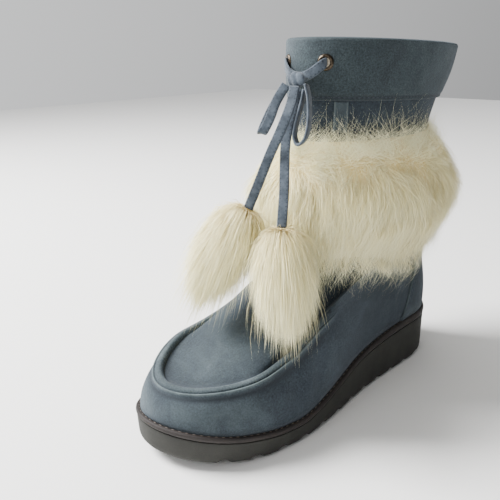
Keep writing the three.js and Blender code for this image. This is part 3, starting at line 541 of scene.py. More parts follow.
def soft_box(name, place, target, size, power_watts):
    """An area light at a place in metres, turned so that its -Z looks at the target."""
    data = bpy.data.lights.new(name, "AREA")
    data.shape, data.size, data.energy = "SQUARE", size, power_watts
    light = bpy.data.objects.new(name, data)
    back = unit(np.array(place, dtype=float) - np.array(target, dtype=float))
    right = unit(np.cross([0, 0, 1], back))
    up = np.cross(back, right)
    matrix = np.eye(4)
    matrix[:3, 0], matrix[:3, 1], matrix[:3, 2], matrix[:3, 3] = right, up, back, place
    light.matrix_world = Matrix(matrix)
    bpy.context.scene.collection.objects.link(light)


soft_box("key_box", (-1.05, -0.75, 1.35), (0, 0, 0.1), 0.8, 135)
soft_box("front_box", (0.2, -1.5, 0.9), (0, 0, 0.12), 0.8, 7)

# %% [markdown]
# Suede
#
# Suede is the split flesh side of a hide, brushed until its fibres stand up. It has no gloss: light
# catches the fibre ends at a grazing angle, which is what sheen gives. Where a finger has stroked
# it the nap lies another way and looks lighter or darker, in patches 10 to 30 mm across. The dye
# here is blue-grey, and worn edges go pale. The fine grain is drawn at about 1 mm, coarser than
# the real fibres, so that it shows.

# %% Suede material
# The darkest suede is mixed in by a value on the mesh: painted shade in grooves, creases and seams, and a
# darkening along the welt.
WORN_SUEDE, SHADE_AND_DIRT_SUEDE = "#5a6567", "#23272b"


def suede(name, dark, middle, pale):
    material, tree = new_material(name)
    place = place_in(tree)
    patches = noise(tree, place, 38.0, 4.0, 0.62, Distortion=0.6)
    dyed = ramp(tree, patches, [(0.3, dark), (0.5, middle), (0.72, pale)])
    fibres = noise(tree, place, 1100.0, 3.0, 0.75)
    mottled = noise(tree, place, 820.0, 3.0, 0.7)
    fleck = span(tree, fibres, 0.38, 0.62, 0.68, 1.34)
    speckle = span(tree, mottled, 0.36, 0.64, 0.76, 1.26)
    flecked = scaled(tree, dyed, calc(tree, "MULTIPLY", fleck, speckle))
    patchy = calc(tree, "MULTIPLY", value_of(tree, "wear"), patches)
    share = calc(tree, "MULTIPLY", patchy, 1.7, use_clamp=True)
    rubbed = mix(tree, share, flecked, linear(WORN_SUEDE))
    sockets = {
        "Base Color": mix(tree, value_of(tree, "shade_and_dirt"), rubbed, linear(SHADE_AND_DIRT_SUEDE)),
        "Roughness": 0.95,
        "Specular IOR Level": 0.15,
        "Sheen Weight": 0.35,
        "Sheen Roughness": 0.55,
        "Sheen Tint": linear("#98a2ac"),
        "Normal": relief_of(tree, calc(tree, "ADD", fibres, mottled), 0.5, 0.0006),
    }
    finish(tree, sockets)
    return material


upper_suede = suede("blue_grey_suede", "#252b32", "#2b3238", "#353c43")
cuff_suede = suede("blue_suede_cuff", "#282f32", "#2f373a", "#394244")
roll_suede = suede("rubbed_suede_roll", "#2b3235", "#384044", "#4c5457")

# %% [markdown]
# Lining, rubber, welt and thread
#
# The lining is a pale brushed textile. The sole is foamed rubber, moulded dull and dark grey, with a
# little pale dust. The welt is a brown dyed strip. The thread is waxed polyester, paler than the
# suede where it shows on top; where it has sunk into a seam, a darker copy of it is painted shade.

# %% Plain finishes
def dull(name, colour_a, colour_b, scale, roughness, bump_height, specular=0.3, sheen=0.0):
    """Two close colours mixed by noise at `scale` per metre, with the same noise as fine relief."""
    material, tree = new_material(name)
    place = place_in(tree)
    broad, fine = noise(tree, place, scale * 0.06, 4.0), noise(tree, place, scale, 4.0, 0.6)
    share = span(tree, calc(tree, "ADD", broad, fine), 0.7, 1.3)
    sockets = {
        "Base Color": mix(tree, share, linear(colour_a), linear(colour_b)),
        "Roughness": roughness,
        "Specular IOR Level": specular,
        "Sheen Weight": sheen,
        "Normal": relief_of(tree, fine, 0.6, bump_height),
    }
    finish(tree, sockets)
    return material


lining_cloth = dull("brushed_lining", "#a39c8e", "#c3bcad", 900, 1.0, 0.0006, sheen=0.4)
sole_rubber = dull("dull_moulded_rubber", "#21211e", "#2f2f2b", 1200, 0.78, 0.00025, specular=0.35)
welt_strip = dull("brown_welt_strip", "#1b1716", "#292321", 1100, 0.7, 0.0003, specular=0.35)
welt_thread = dull("brown_waxed_thread", "#4b4541", "#6c645d", 2500, 0.6, 0.0001)
# A darker copy of the thread: where it is sewn into the roll's and the cuff's seam dips, its darkness is
# painted shade.
dark_shaded_thread = dull("dark_shaded_waxed_thread", "#272c32", "#3b424a", 2500, 0.6, 0.0001)
blue_thread = dull("blue_waxed_thread", "#333c45", "#4b555f", 2500, 0.6, 0.0001)
black_patch = dull("plain_black_patch", "#101011", "#1b1b1c", 900, 0.5, 0.0003)

# %% [markdown]
# Upper
#
# The upper is one hollow wall. Its outer face is the grid above, raised at the roll, and its inner
# face is the same grid moved in by the wall's thickness. Both are joined at the rim and at the
# feather line into one closed shell. Soft troughs and ridges are added where the foot would bend
# the suede, each as a bell-shaped dent at a chosen place.

# %% Relief of the outer face
def bell(value, middle, width):
    return np.exp(-(((value - middle) / width) ** 2))


row_index = np.arange(ROWS)[:, None]
turn_grid = turns[None, :]
fade_row = roll_fade(outline_place)[None, :]
roll_share = np.interp(row_index, ROLL_ROW + np.arange(len(roll_ups)), roll_ups)
# Across the roll: a cut lip 2 mm wide, the dip of its seam, the round of the cord and the inner groove.
PROFILE_AT = [0, 0.05, 0.15, 0.21, 0.3, 0.5, 0.76, 0.93, 1]
ROLL_PROFILE = list(zip(PROFILE_AT, [0.05, 0.5, 0.58, 0.08, 0.68, 1.0, 0.94, 0.2, -0.3]))
hump = curve(ROLL_PROFILE, roll_share)
in_roll = ((row_index >= ROLL_ROW) & (row_index <= VAMP_ROW - 1)).astype(float)
roll_height = in_roll * hump * ROLL_PROUD * fade_row
# The stitched foot of the roll pulls the wall in just below it, and the apron in just above it.
pull_below = -0.95 * bell(row_index, ROLL_ROW - 1, 0.9) * fade_row
pull_above = -0.6 * bell(row_index, VAMP_ROW, 1.5) * fade_row
pucker = 0.05 * np.sin(turn_grid * 2 * np.pi * 95) * bell(row_index, VAMP_ROW + 1, 2.2) * fade_row
vamp_share = np.clip((row_index - VAMP_ROW) / len(vamp_ups), 0, 1)
on_side = (row_index < ROLL_ROW).astype(float)
side_share = row_index / ROLL_ROW
on_vamp = (row_index > VAMP_ROW) * (row_index < SHAFT_ROW)
# A crease is its height, the turn where it lies and its width there, its place up the wall and its reach.
SIDE_CREASES = [
    (-1.1, 0.335, 0.011, 0.62, 0.34),
    (-0.9, 0.305, 0.009, 0.5, 0.3),
    (0.7, 0.32, 0.008, 0.6, 0.3),
    (-1.0, 0.665, 0.011, 0.6, 0.34),
    (0.6, 0.68, 0.008, 0.6, 0.3),
    (-0.7, 0.41, 0.018, 0.5, 0.3),
]
VAMP_CREASES = [(-1.0, 0.5, 0.10, 0.55, 0.14), (0.8, 0.5, 0.09, 0.78, 0.10)]


def creased(rows, share, where):
    total = 0.0
    for high, turn, wide, up, reach in rows:
        total = total + high * bell(turn_grid, turn, wide) * bell(share, up, reach) * where
    return total


def neighbours(grid):
    """The sum of each point's four neighbours. The columns go round, and an end row is its own neighbour."""
    above, below = np.concatenate([grid[:1], grid[:-1]]), np.concatenate([grid[1:], grid[-1:]])
    return above + below + np.roll(grid, 1, axis=1) + np.roll(grid, -1, axis=1)


creases = creased(SIDE_CREASES, side_share, on_side) + creased(VAMP_CREASES, vamp_share, on_vamp)
relief = roll_height + pull_below + pull_above + pucker + creases
outer_face = surface + normals * relief[..., None]
outer_normals = grid_normals(outer_face)
soft_normals = normals.copy()
for _ in range(14):
    soft_normals = unit(soft_normals * 2 + neighbours(soft_normals))
# Where the roll has faded the wall folds sharply, and its inner face moves in from the side.
sideways = [np.sign(surface[..., 0]), np.zeros(surface.shape[:2]), np.full(surface.shape[:2], 0.45)]
side_way = unit(np.stack(sideways, axis=-1))
fold = bell(row_index, VAMP_ROW, 9.0) * (1 - ease(outline_place, 0.6, 0.74))[None, :]
fold = fold * ease(np.abs(surface[..., 0]), 10, 26)
wall_way = unit(lerp(soft_normals, side_way, fold[..., None]))
inner_face = surface - wall_way * (WALL * (1 + 0.5 * fold))[..., None]

# %% The inner face kept inside
# Beside the throat the wall folds sharply. A point of the inner face that would come out there is put
# back behind the nearest point of the outer face, and its neighbours are evened out.
THINNEST, PUT_BACK, PUT_BACK_ROUNDS = 0.6, 1.4, 4
outer_tree = BVHTree.FromPolygons(outer_face.reshape(-1, 3).tolist(), grid_faces(ROWS, COLUMNS).tolist())
put_back = 0
for again in range(PUT_BACK_ROUNDS):
    moved = np.zeros((ROWS, COLUMNS), dtype=bool)
    for r in range(ROLL_ROW - 2, SHAFT_ROW + 3):
        for c in range(COLUMNS):
            near, _, index, _ = outer_tree.find_nearest(inner_face[r, c].tolist())
            out = soft_normals[index // COLUMNS, index % COLUMNS]
            if np.dot(inner_face[r, c] - np.array(near), out) > -THINNEST:
                inner_face[r, c] = np.array(near) - out * PUT_BACK
                moved[r, c] = True
    put_back = max(put_back, int(moved.sum()))
    if again < PUT_BACK_ROUNDS - 1:
        beside = moved | (neighbours(moved.astype(int)) > 0)
        beside[:3], beside[-3:] = False, False
        even = 0.5 * inner_face + 0.5 * neighbours(inner_face) / 4
        inner_face = np.where(beside[..., None], even, inner_face)
print("inner points put back", put_back)

# %% Wear, painted shade and a darkening at the welt, as values on the grid
edge_wave = 0.5 + 0.5 * np.sin(turn_grid * 2 * np.pi * 37) * np.sin(turn_grid * 2 * np.pi * 11 + 1)
toe_cap = ease(outline_place, 0.72, 0.92)[None, :]
lip_wear = 0.35 * bell(roll_share, 0.55, 0.25) + 1.5 * bell(roll_share, 0.1, 0.07)
wear_grid = in_roll * lip_wear * fade_row * (0.5 + 0.5 * edge_wave)
wear_grid = wear_grid + toe_cap * on_side * bell(side_share, 0.5, 0.45) * 0.35
apron_rows = (row_index >= VAMP_ROW) * (row_index < SHAFT_ROW)
wear_grid = wear_grid + 0.3 * toe_cap * apron_rows * bell(vamp_share, 0.25, 0.3)
# Painted shade: the suede is darkened in the crease below the roll's foot, in the roll's seam dip and in its
# inner groove. It is also darker along the feather line at the welt.
roll_groove_shade = bell(row_index, ROLL_ROW - 1.0, 0.7) + 0.8 * in_roll * bell(roll_share, 0.21, 0.035)
roll_groove_shade = roll_groove_shade + 0.8 * bell(row_index, VAMP_ROW - 1, 1.1)
upper_shade_and_dirt = 0.75 * bell(row_index, 0, 0.9) + 0.85 * fade_row * roll_groove_shade

# %% Upper's shell
upper_points = np.concatenate([outer_face, inner_face[::-1]])
upper_faces = grid_faces(2 * ROWS, COLUMNS, over=True)
face_rows = np.arange(len(upper_faces)) // COLUMNS
upper_slots = np.where(face_rows >= ROWS, 1, 0)
upper_slots[(face_rows >= ROLL_ROW) & (face_rows < VAMP_ROW - 1)] = 2
fade_faces = roll_fade(outline_place)[np.arange(len(upper_faces)) % COLUMNS]
upper_slots[(upper_slots == 2) & (fade_faces < 0.5)] = 0
still = np.zeros_like(wear_grid)
upper = make_piece(
    "upper_wall",
    upper_points + SHIFT,
    [upper_faces],
    [upper_suede, lining_cloth, roll_suede],
    {"wear": np.concatenate([wear_grid, still]), "shade_and_dirt": np.concatenate([np.clip(upper_shade_and_dirt, 0, 1), still])},
    slots=upper_slots,
)
stand_in(upper, "upper")
print("upper", len(upper.data.polygons), "faces")

# %% [markdown]
# Sole, welt and insole
#
# The outsole is one moulded wedge. Its side is a stack of rings on the foot's outline, and its lower
# edge is scalloped between the lugs: the edge rises by a half ellipse at each notch. The rings are
# carried in under the foot to a line along its middle, where the tread's shallow grooves are.

# %% Outsole
def spine(turn):
    """For each point of the outline, the point of the sole's middle line that it is drawn towards."""
    place = foot_edge(turn, 0, 0)[2]
    along = np.clip(place, 0.13, 0.87)
    lean = TOE_CURVE * power((along - 0.5) / 0.5, 1.5)
    return np.stack([-lean, HEEL_BACK - along * SOLE_LENGTH], axis=-1)


def inward(turn, share, inset, height):
    """A ring drawn towards the middle line by `share`."""
    x, y, _ = foot_edge(turn, inset, inset)
    flat = lerp(np.stack([x, y], axis=-1), spine(turn), share)
    along = (HEEL_BACK - flat[..., 1]) / SOLE_LENGTH
    return np.concatenate([flat, height(along)[..., None]], axis=-1)


SOLE_COLUMNS = 520
sole_turns = np.arange(SOLE_COLUMNS) / SOLE_COLUMNS
first_notch, last_notch = HEEL_ROUND * SOLE_LENGTH * 0.75, SOLE_LENGTH * 0.92
notch_centres = np.arange(first_notch, last_notch, LUG_PITCH)
NOTCH_HALF = 4.2


def scallop(place):
    """How far the lower edge rises: half an ellipse at each notch."""
    far = np.abs(place[..., None] * SOLE_LENGTH - notch_centres).min(axis=-1)
    return LUG_DEPTH * np.sqrt(np.maximum(1 - (far / NOTCH_HALF) ** 2, 0))


def sole_row(inset, lift, notch):
    return foot_ring(sole_turns, inset, lambda p: sole_bottom(p) + lift + notch * scallop(p))


def tread(share):
    """The ground face: shallow waves across the foot between the edge lugs and the middle."""
    def height(along):
        wave = 0.5 + 0.5 * np.sin(along * SOLE_LENGTH * 2 * np.pi / 9.0 + 2.2 * np.sin(share * 9))
        return sole_bottom(along) + 0.9 * ease(wave, 0.55, 0.8) * bell(share, 0.55, 0.3)
    return inward(sole_turns, share, 5, height)


def under_edge(place):
    return sole_top(place) - 1.1


# The edge below the side is rolled under: each row is its inset, its lift and how far it follows a notch.
EDGE_ROWS = [(0.5, 5.5, 0.05), (0.75, 3.8, 0.25), (1.2, 2.4, 0.7)]
EDGE_ROWS += [(2.2, 1.2, 1.0), (3.4, 0.4, 1.0), (5, 0, 1.0)]
top_close = [inward(sole_turns, s, 14, sole_top) for s in (1.0, 0.5)]
sole_rows = [foot_ring(sole_turns, i, sole_top) for i in (14.0, 0.9)]
sole_rows += [foot_ring(sole_turns, 0.25, lambda p: sole_top(p) - 0.25), foot_ring(sole_turns, 0, under_edge)]
side_steps = np.linspace(0.08, 1, 12)[:-1]
sole_rows += [lerp(foot_ring(sole_turns, 0, under_edge), sole_row(0.5, 5.5, 0), t) for t in side_steps]
sole_rows += [sole_row(*row) for row in EDGE_ROWS]
for s in (0.1, 0.2, 0.3):
    sole_rows.append(inward(sole_turns, s, 5, lambda p: sole_bottom(p) + (1 - s / 0.3) * scallop(p)))
sole_rows += [tread(s) for s in np.linspace(0.34, 1, 14)]
sole_points = np.array(top_close + sole_rows)


def merged(piece, distance=0.00002):
    """Merges the points that lie on each other, so that the shell is closed along its middle line."""
    form = bmesh.new()
    form.from_mesh(piece.data)
    bmesh.ops.remove_doubles(form, verts=form.verts, dist=distance)
    bmesh.ops.dissolve_degenerate(form, edges=form.edges, dist=distance / 2)
    form.to_mesh(piece.data)
    form.free()
    return piece


outsole = make_piece(
    "outsole_wedge", sole_points + SHIFT, [grid_faces(len(sole_points), SOLE_COLUMNS)], sole_rubber, sharp=35
)
merged(outsole)
stand_in(outsole, "outsole")
print("outsole", len(outsole.data.polygons), "faces")

# %% Welt
def welt_row(inset, share):
    return foot_ring(sole_turns, inset, lambda p: lerp(sole_top(p) + GAP, welt_top(p), share))


WELT_INSETS = [0.6, 0.0, -0.4, -0.5, -0.4, 0.05, 0.6, 1.6, 2.6, 6.6, 6.6]
WELT_SHARES = [0, 0.1, 0.3, 0.5, 0.72, 0.92, 1.0, 1.04, 1.0, 1.0, 0]
welt_rows = np.array([welt_row(i, s) for i, s in zip(WELT_INSETS, WELT_SHARES)])
welt_faces = grid_faces(len(welt_rows), SOLE_COLUMNS, over=True)
welt = make_piece("welt_rand", welt_rows + SHIFT, [welt_faces], welt_strip, sharp=40)
stand_in(welt, "welt")

# %% Insole
inner = WELT_WIDTH + GAP
insole_rows = [inward(turns, s, inner, lambda p: sole_top(p) + GAP) for s in (1.0, 0.5)]
insole_rows.append(foot_ring(turns, inner, lambda p: sole_top(p) + GAP))
insole_rows.append(foot_ring(turns, inner, lambda p: welt_top(p) + 1.8))
insole_rows.append(foot_ring(turns, inner + 1, lambda p: welt_top(p) + 2.8))
for s in (0.1, 0.3, 0.6, 1.0):
    insole_rows.append(inward(turns, s, inner + 1, lambda p: welt_top(p) + 3 - 1.2 * ease(s, 0, 0.8)))
insole_faces = grid_faces(len(insole_rows), COLUMNS)
insole_points = np.array(insole_rows) + SHIFT
insole = merged(make_piece("insole_sock", insole_points, [insole_faces], lining_cloth, sharp=40))
stand_in(insole, "insole")

# %% [markdown]
# Cuff
#
# The cuff is a second band of suede, sewn on along its lower edge and folded over the top. It is
# wavy and padded: soft upright dents run down from the rim, where the band has been gathered.

# %% Cuff's shell
CUFF_ROWS = 34
cuff_heights = np.linspace(shaft_share(CUFF_EDGE), 1, CUFF_ROWS)
cuff_base = np.array([shaft_point(turns, u) for u in cuff_heights])
cuff_normals = grid_normals(cuff_base)
cuff_normals[-1, :, 2] = 0
cuff_normals = unit(cuff_normals)
cuff_share = np.linspace(0, 1, CUFF_ROWS)[:, None]
lip = power(np.sin(np.pi / 2 * np.clip(cuff_share / 0.06, 0, 1)), 0.5)
puff = 0.75 * np.sin(np.pi * np.clip(cuff_share, 0, 1)) ** 1.2
soft_dents = 0.35 * np.sin(turn_grid * 2 * np.pi * 9 + 3 * cuff_share) * np.sin(np.pi * cuff_share)
seam_dip = -0.8 * bell(cuff_share, 0.07, 0.022)
cuff_out = GAP + CUFF_THICK * lerp(0.5, 1, lip) + puff + soft_dents + seam_dip
cuff_rows = [cuff_base[k] + cuff_normals[k] * cuff_out[k][:, None] for k in range(CUFF_ROWS)]
rim_base, rim_out = cuff_base[-1], cuff_normals[-1]
for far, lift in [(2.4, 0.9), (1.7, 1.7), (0.4, 2.1), (-1.2, 2.1), (-2.4, 1.6), (-2.95, 0.7)]:
    cuff_rows.append(rim_base + rim_out * far + np.array([0, 0, lift + GAP]))
cuff_rows.append(rim_base - rim_out * 2.95 + np.array([0, 0, GAP]))
cuff_rows.append(rim_base + rim_out * GAP + np.array([0, 0, GAP]))
cuff_rows += [cuff_base[k] + cuff_normals[k] * GAP for k in range(CUFF_ROWS - 2, -1, -4)]
cuff_wear = np.zeros((len(cuff_rows), COLUMNS))
cuff_wear[CUFF_ROWS : CUFF_ROWS + 2] = 0.15
# Painted shadow: a dark line along the cuff's lower edge and in its seam dip, where its stitches sit.
cuff_seam_shade = np.zeros((len(cuff_rows), COLUMNS))
cuff_seam_shade[:CUFF_ROWS] = 0.9 * bell(cuff_share, 0.07, 0.022) + 0.9 * bell(cuff_share, 0, 0.03)
cuff = make_piece(
    "cuff_band",
    np.array(cuff_rows) + SHIFT,
    [grid_faces(len(cuff_rows), COLUMNS, over=True)],
    cuff_suede,
    {"wear": cuff_wear, "shade_and_dirt": cuff_seam_shade},
)
stand_in(cuff, "cuff")

# %% [markdown]
# Pieces that lie on the upper
#
# The counter, the badge and the tapes are cut from thin sheet and lie on the upper's face. Each is a
# grid whose corners are found on the upper, moved out by its thickness. The thickness falls off in
# the last millimetre, as a cut edge that was pressed down.

# %% Counter
def edge_fall(rows, cols, steps=(0.45, 0.82, 0.97)):
    """1 inside a grid and less at its borders, row by row and column by column."""
    r, c = np.arange(rows), np.arange(cols)
    near = np.minimum(np.minimum(r, rows - 1 - r)[:, None], np.minimum(c, cols - 1 - c)[None, :])
    fall = np.ones((rows, cols))
    for k, value in enumerate(steps):
        fall[near == k] = value
    return fall


def on_upper(row, turn):
    """A place on the upper's outer face, with its outward direction."""
    return sample(outer_face, row, turn), unit(sample(outer_normals, row, turn))


SEAM_TOP, SEAM_FOOT, COUNTER_TOP, COUNTER_THICK = 31.0, 64.0, 105.0, 1.1
heel_column = outer_face[:, 0, 2]
counter_top_row = np.interp(COUNTER_TOP, heel_column, np.arange(ROWS))
COUNTER_ROWS, COUNTER_COLUMNS = 34, 121
counter_rows = np.linspace(0, counter_top_row, COUNTER_ROWS)
half_turns = np.linspace(0.002, 0.34, 200)


def seam_turn(row, side):
    """The turn at which a row of the upper crosses the slanting seam."""
    turn = half_turns if side > 0 else 1 - half_turns
    points = sample(outer_face, np.full(len(turn), row), turn)
    seam_share = (points[:, 2] - HEEL_HEIGHT) / (COUNTER_TOP - HEEL_HEIGHT)
    over = points[:, 1] - HEEL_BACK + lerp(SEAM_FOOT, SEAM_TOP, seam_share)
    return np.interp(0, -over, half_turns)


counter_width = np.array([[seam_turn(r, 1), seam_turn(r, -1)] for r in counter_rows])
counter_across = np.linspace(-1, 1, COUNTER_COLUMNS)[None, :]
counter_side = np.where(counter_across < 0, counter_width[:, 1:2], counter_width[:, 0:1])
counter_row_grid = np.repeat(counter_rows[:, None], COUNTER_COLUMNS, axis=1)
counter_at, counter_normal = on_upper(counter_row_grid, counter_across * counter_side)
counter_fall = edge_fall(COUNTER_ROWS, COUNTER_COLUMNS)
counter_fall[0] = counter_fall[1]
counter_out = GAP + COUNTER_THICK * counter_fall
counter_points, counter_faces = slab(
    counter_at + counter_normal * counter_out[..., None], counter_at + counter_normal * GAP
)
edge_wear = np.where(counter_fall < 0.9, 0.55, 0.0).ravel()
# The counter is darker at its foot along the welt, as the upper is along its feather line.
low_shade_and_dirt = np.repeat(0.6 * bell(np.arange(COUNTER_ROWS), 0, 2.0), COUNTER_COLUMNS)
counter = make_piece(
    "heel_counter",
    counter_points + SHIFT,
    counter_faces,
    upper_suede,
    {"wear": np.tile(edge_wear, 2), "shade_and_dirt": np.tile(low_shade_and_dirt, 2)},
)
stand_in(counter, "counter")


# %% Badge and tapes
def on_heel(x, z):
    """The row and turn of the upper's back where it has the given x and z."""
    row = np.interp(z, heel_column, np.arange(ROWS))
    turn = np.linspace(-0.12, 0.12, 121)
    ring = sample(outer_face, np.full(len(turn), float(np.mean(row))), turn)
    return row, np.interp(x, ring[:, 0], turn)


def rounded(cols, rows, half_width, low, high, corner):
    """A grid over a rectangle whose two lower corners are round."""
    u, v = np.meshgrid(np.linspace(-1, 1, cols), np.linspace(0, 1, rows))
    z = lerp(low, high, v)
    cut = np.maximum(corner - (z - low), 0) / corner
    width = half_width - corner * (1 - np.sqrt(np.maximum(1 - cut**2, 0)))
    return u * width, z


BADGE_HALF, BADGE_LOW, BADGE_HIGH, BADGE_ROUND, BADGE_THICK = 12.0, 62.0, 95.0, 6.0, 1.2
BADGE_ROWS, BADGE_COLUMNS = 31, 25
badge_x, badge_z = rounded(BADGE_COLUMNS, BADGE_ROWS, BADGE_HALF, BADGE_LOW, BADGE_HIGH, BADGE_ROUND)
badge_at, badge_normal = on_upper(*on_heel(badge_x, badge_z))
badge_near = GAP + COUNTER_THICK + GAP
badge_out = badge_near + BADGE_THICK * edge_fall(BADGE_ROWS, BADGE_COLUMNS)
badge_face, badge_back = badge_at + badge_normal * badge_out[..., None], badge_at + badge_normal * badge_near
badge_points, badge_faces = slab(badge_face, badge_back)
badge = make_piece("heel_patch", badge_points + SHIFT, badge_faces, black_patch)
stand_in(badge, "heel_badge")


def front_turn(x, height):
    """The turn, from the outer side of the front, at which the shaft is x from the middle line."""
    turn = np.linspace(0.25, 0.5, 300)
    ring = shaft_point(turn, shaft_share(height))
    return np.interp(-abs(x), -ring[:, 0], turn)


TAPE_ROWS, TAPE_COLUMNS, TAPE_FOOT, TAPE_X, TAPE_HALF, TAPE_THICK = 16, 13, 196.0, 22, 3.1, 1.2
for side, name in [(1, "outer"), (-1, "inner")]:
    tape_z = np.linspace(TAPE_FOOT, CUFF_EDGE - GAP, TAPE_ROWS)
    tape_x = TAPE_X + np.linspace(TAPE_HALF, -TAPE_HALF, TAPE_COLUMNS)
    tape_turn = np.array([[front_turn(x, z) for x in tape_x] for z in tape_z])
    tape_up = shaft_share(np.repeat(tape_z[:, None], TAPE_COLUMNS, axis=1))
    tape_base = shaft_point(tape_turn, tape_up)
    ahead = [tape_base[..., 0] / 2100, (tape_base[..., 1] - 75) / 5200, np.zeros_like(tape_up)]
    away = unit(np.stack(ahead, axis=-1))
    tape_fall = np.broadcast_to(edge_fall(40, TAPE_COLUMNS)[20], (TAPE_ROWS, TAPE_COLUMNS))
    tape_wear = np.tile(np.where(tape_fall < 0.9, 0.7, 0.25).ravel(), 2)
    tape_out = GAP + TAPE_THICK * tape_fall
    tape_points, tape_faces = slab(tape_base + away * tape_out[..., None], tape_base + away * GAP)
    tape_points = tape_points * [side, 1, 1]
    tape = make_piece(
        "seam_tape_" + name + "_strip",
        tape_points + SHIFT,
        tape_faces,
        upper_suede,
        {"wear": tape_wear, "shade_and_dirt": np.zeros(len(tape_points))},
    )
    stand_in(tape, "seam_tape_" + name)

# %% [markdown]
# Stitches
#
# A stitch is a short piece of thread that dives into the leather at both ends. Each is a small
# ellipsoid of a few dozen faces, and a seam is a row of them at an even pitch along a path that is
# read off the surface it sews.

# %% Stitches along a path
def distances(path):
    """How far along a polyline each of its points is."""
    return np.concatenate([[0], np.cumsum(np.linalg.norm(np.diff(path, axis=0), axis=1))])


def read_path(path, along, at):
    return np.stack([np.interp(at, along, path[:, k]) for k in range(3)], axis=-1)


STITCH_RINGS, STITCH_SIDES = 6, 6


def stitches(name, path, path_normals, pitch, length, width, material, closed=False):
    """One ellipsoid a stitch, set on the path at an even pitch and turned to it."""
    if closed:
        path = np.concatenate([path, path[:1]])
        path_normals = np.concatenate([path_normals, path_normals[:1]])
    far = distances(path)
    count = max(int(far[-1] / pitch), 1)
    at = (np.arange(count) + 0.5) * far[-1] / count
    points, normal = read_path(path, far, at), unit(read_path(path_normals, far, at))
    along = unit(read_path(path, far, at + 0.3) - read_path(path, far, at - 0.3))
    across = unit(np.cross(normal, along))
    u = np.linspace(-1, 1, STITCH_RINGS)
    ring = np.arange(STITCH_SIDES) * 2 * np.pi / STITCH_SIDES
    size = np.sqrt(1 - u**2 * 0.92)
    sunk = np.repeat(0.35 * width * u**2, STITCH_SIDES)
    ahead = np.repeat(u * length / 2, STITCH_SIDES)
    aside = np.outer(size, np.cos(ring)).ravel() * width / 2
    lift = np.outer(size, np.sin(ring)).ravel() * width / 2 - sunk
    every = points[:, None] + ahead[:, None] * along[:, None] + aside[:, None] * across[:, None]
    every = every + lift[:, None] * normal[:, None]
    per = STITCH_RINGS * STITCH_SIDES
    end = np.arange(STITCH_SIDES)
    caps = np.array([np.roll(end[::-1], 1), end + per - STITCH_SIDES])
    shift = (np.arange(count) * per)[:, None, None]
    one = grid_faces(STITCH_RINGS, STITCH_SIDES)
    faces = [(one[None] + shift).reshape(-1, 4), (caps[None] + shift).reshape(-1, STITCH_SIDES)]
    piece = make_piece(name, every.reshape(-1, 3) + SHIFT, faces, material)
    print(name, count, "stitches")


welt_path = foot_ring(sole_turns, 1.7, lambda p: welt_top(p) + 0.2)
up_normals = np.tile([0.0, 0.0, 1.0], (SOLE_COLUMNS, 1))
stitches("welt_stitches", welt_path, up_normals, 4.6, 2.3, 0.6, welt_thread, closed=True)

front_columns = np.where(outline_place > 0.585)[0]
roll_stitch_row = ROLL_ROW + 5
roll_path = (outer_face + outer_normals * 0.1)[roll_stitch_row, front_columns]
roll_path_way = outer_normals[roll_stitch_row, front_columns]
stitches("roll_stitches", roll_path, roll_path_way, 3.6, 2.3, 0.7, dark_shaded_thread)
CUFF_SEAM_ROW = 2
cuff_seam_normal = cuff_normals[CUFF_SEAM_ROW]
cuff_seam = cuff_rows[CUFF_SEAM_ROW] + cuff_seam_normal * 0.05
stitches("cuff_stitches", cuff_seam, cuff_seam_normal, 3.4, 2.3, 0.6, dark_shaded_thread, closed=True)
for side, name in [(1, "outer"), (-1, "inner")]:
    for k, inset in enumerate([2.4, 4.6]):
        width = counter_width[:, 0 if side > 0 else 1]
        seam_at, seam_normal = on_upper(counter_rows, side * (width - inset / 520))
        seam_path = seam_at + seam_normal * (GAP + COUNTER_THICK + 0.1)
        row_name = "counter_" + name + "_stitches_" + str(k + 1)
        stitches(row_name, seam_path, seam_normal, 3.3, 2.2, 0.6, blue_thread)


def frame_of(grid):
    """The points of a grid two rows in from its border, in one turn."""
    return np.concatenate([grid[2:-2, 2], grid[-3, 2:-2], grid[2:-2, -3][::-1], grid[2, 2:-2][::-1]])


badge_frame = frame_of(badge_at + badge_normal * (badge_near + 1.25))
badge_frame_way = frame_of(badge_normal)
stitches("patch_stitches", badge_frame, badge_frame_way, 2.9, 1.9, 0.5, dark_shaded_thread, True)

# %% [markdown]
# Pull loop and eyelets
#
# The pull loop is a strip of suede bent into a long flat ring. The eyelets are pressed from sheet
# brass, chemically darkened to an uneven brown.

# %% Pull loop
low, high = shaft_point(0.0, shaft_share(CUFF_EDGE)), shaft_point(0.0, 1.0)
lean = np.arctan2(high[1] - low[1], high[2] - low[2])
loop_up = np.array([0, np.sin(lean), np.cos(lean)])
loop_back = np.array([0, np.cos(lean), -np.sin(lean)])
loop_seat = (low + high) / 2 + loop_back * (2 * GAP + CUFF_THICK + 5 + GAP)
LOOP_HEIGHT, LOOP_DEPTH, LOOP_WALL = 37.0, 10.0, 1.6


def stadium(count, radius, height):
    """Points round two half circles joined by straight sides."""
    straight, arc = height - 2 * radius, np.pi * radius
    s = np.arange(count) / count * 2 * (straight + arc)
    a, b = s / radius, (s - arc - straight) / radius
    where = [s < arc, s < arc + straight, s < 2 * arc + straight]
    x = np.select(where, [radius * np.cos(a), -radius, -radius * np.cos(b)], radius)
    half = straight / 2
    y_parts = [half + radius * np.sin(a), half - (s - arc), -half - radius * np.sin(b)]
    return x, np.select(where, y_parts, -half + (s - 2 * arc - straight))


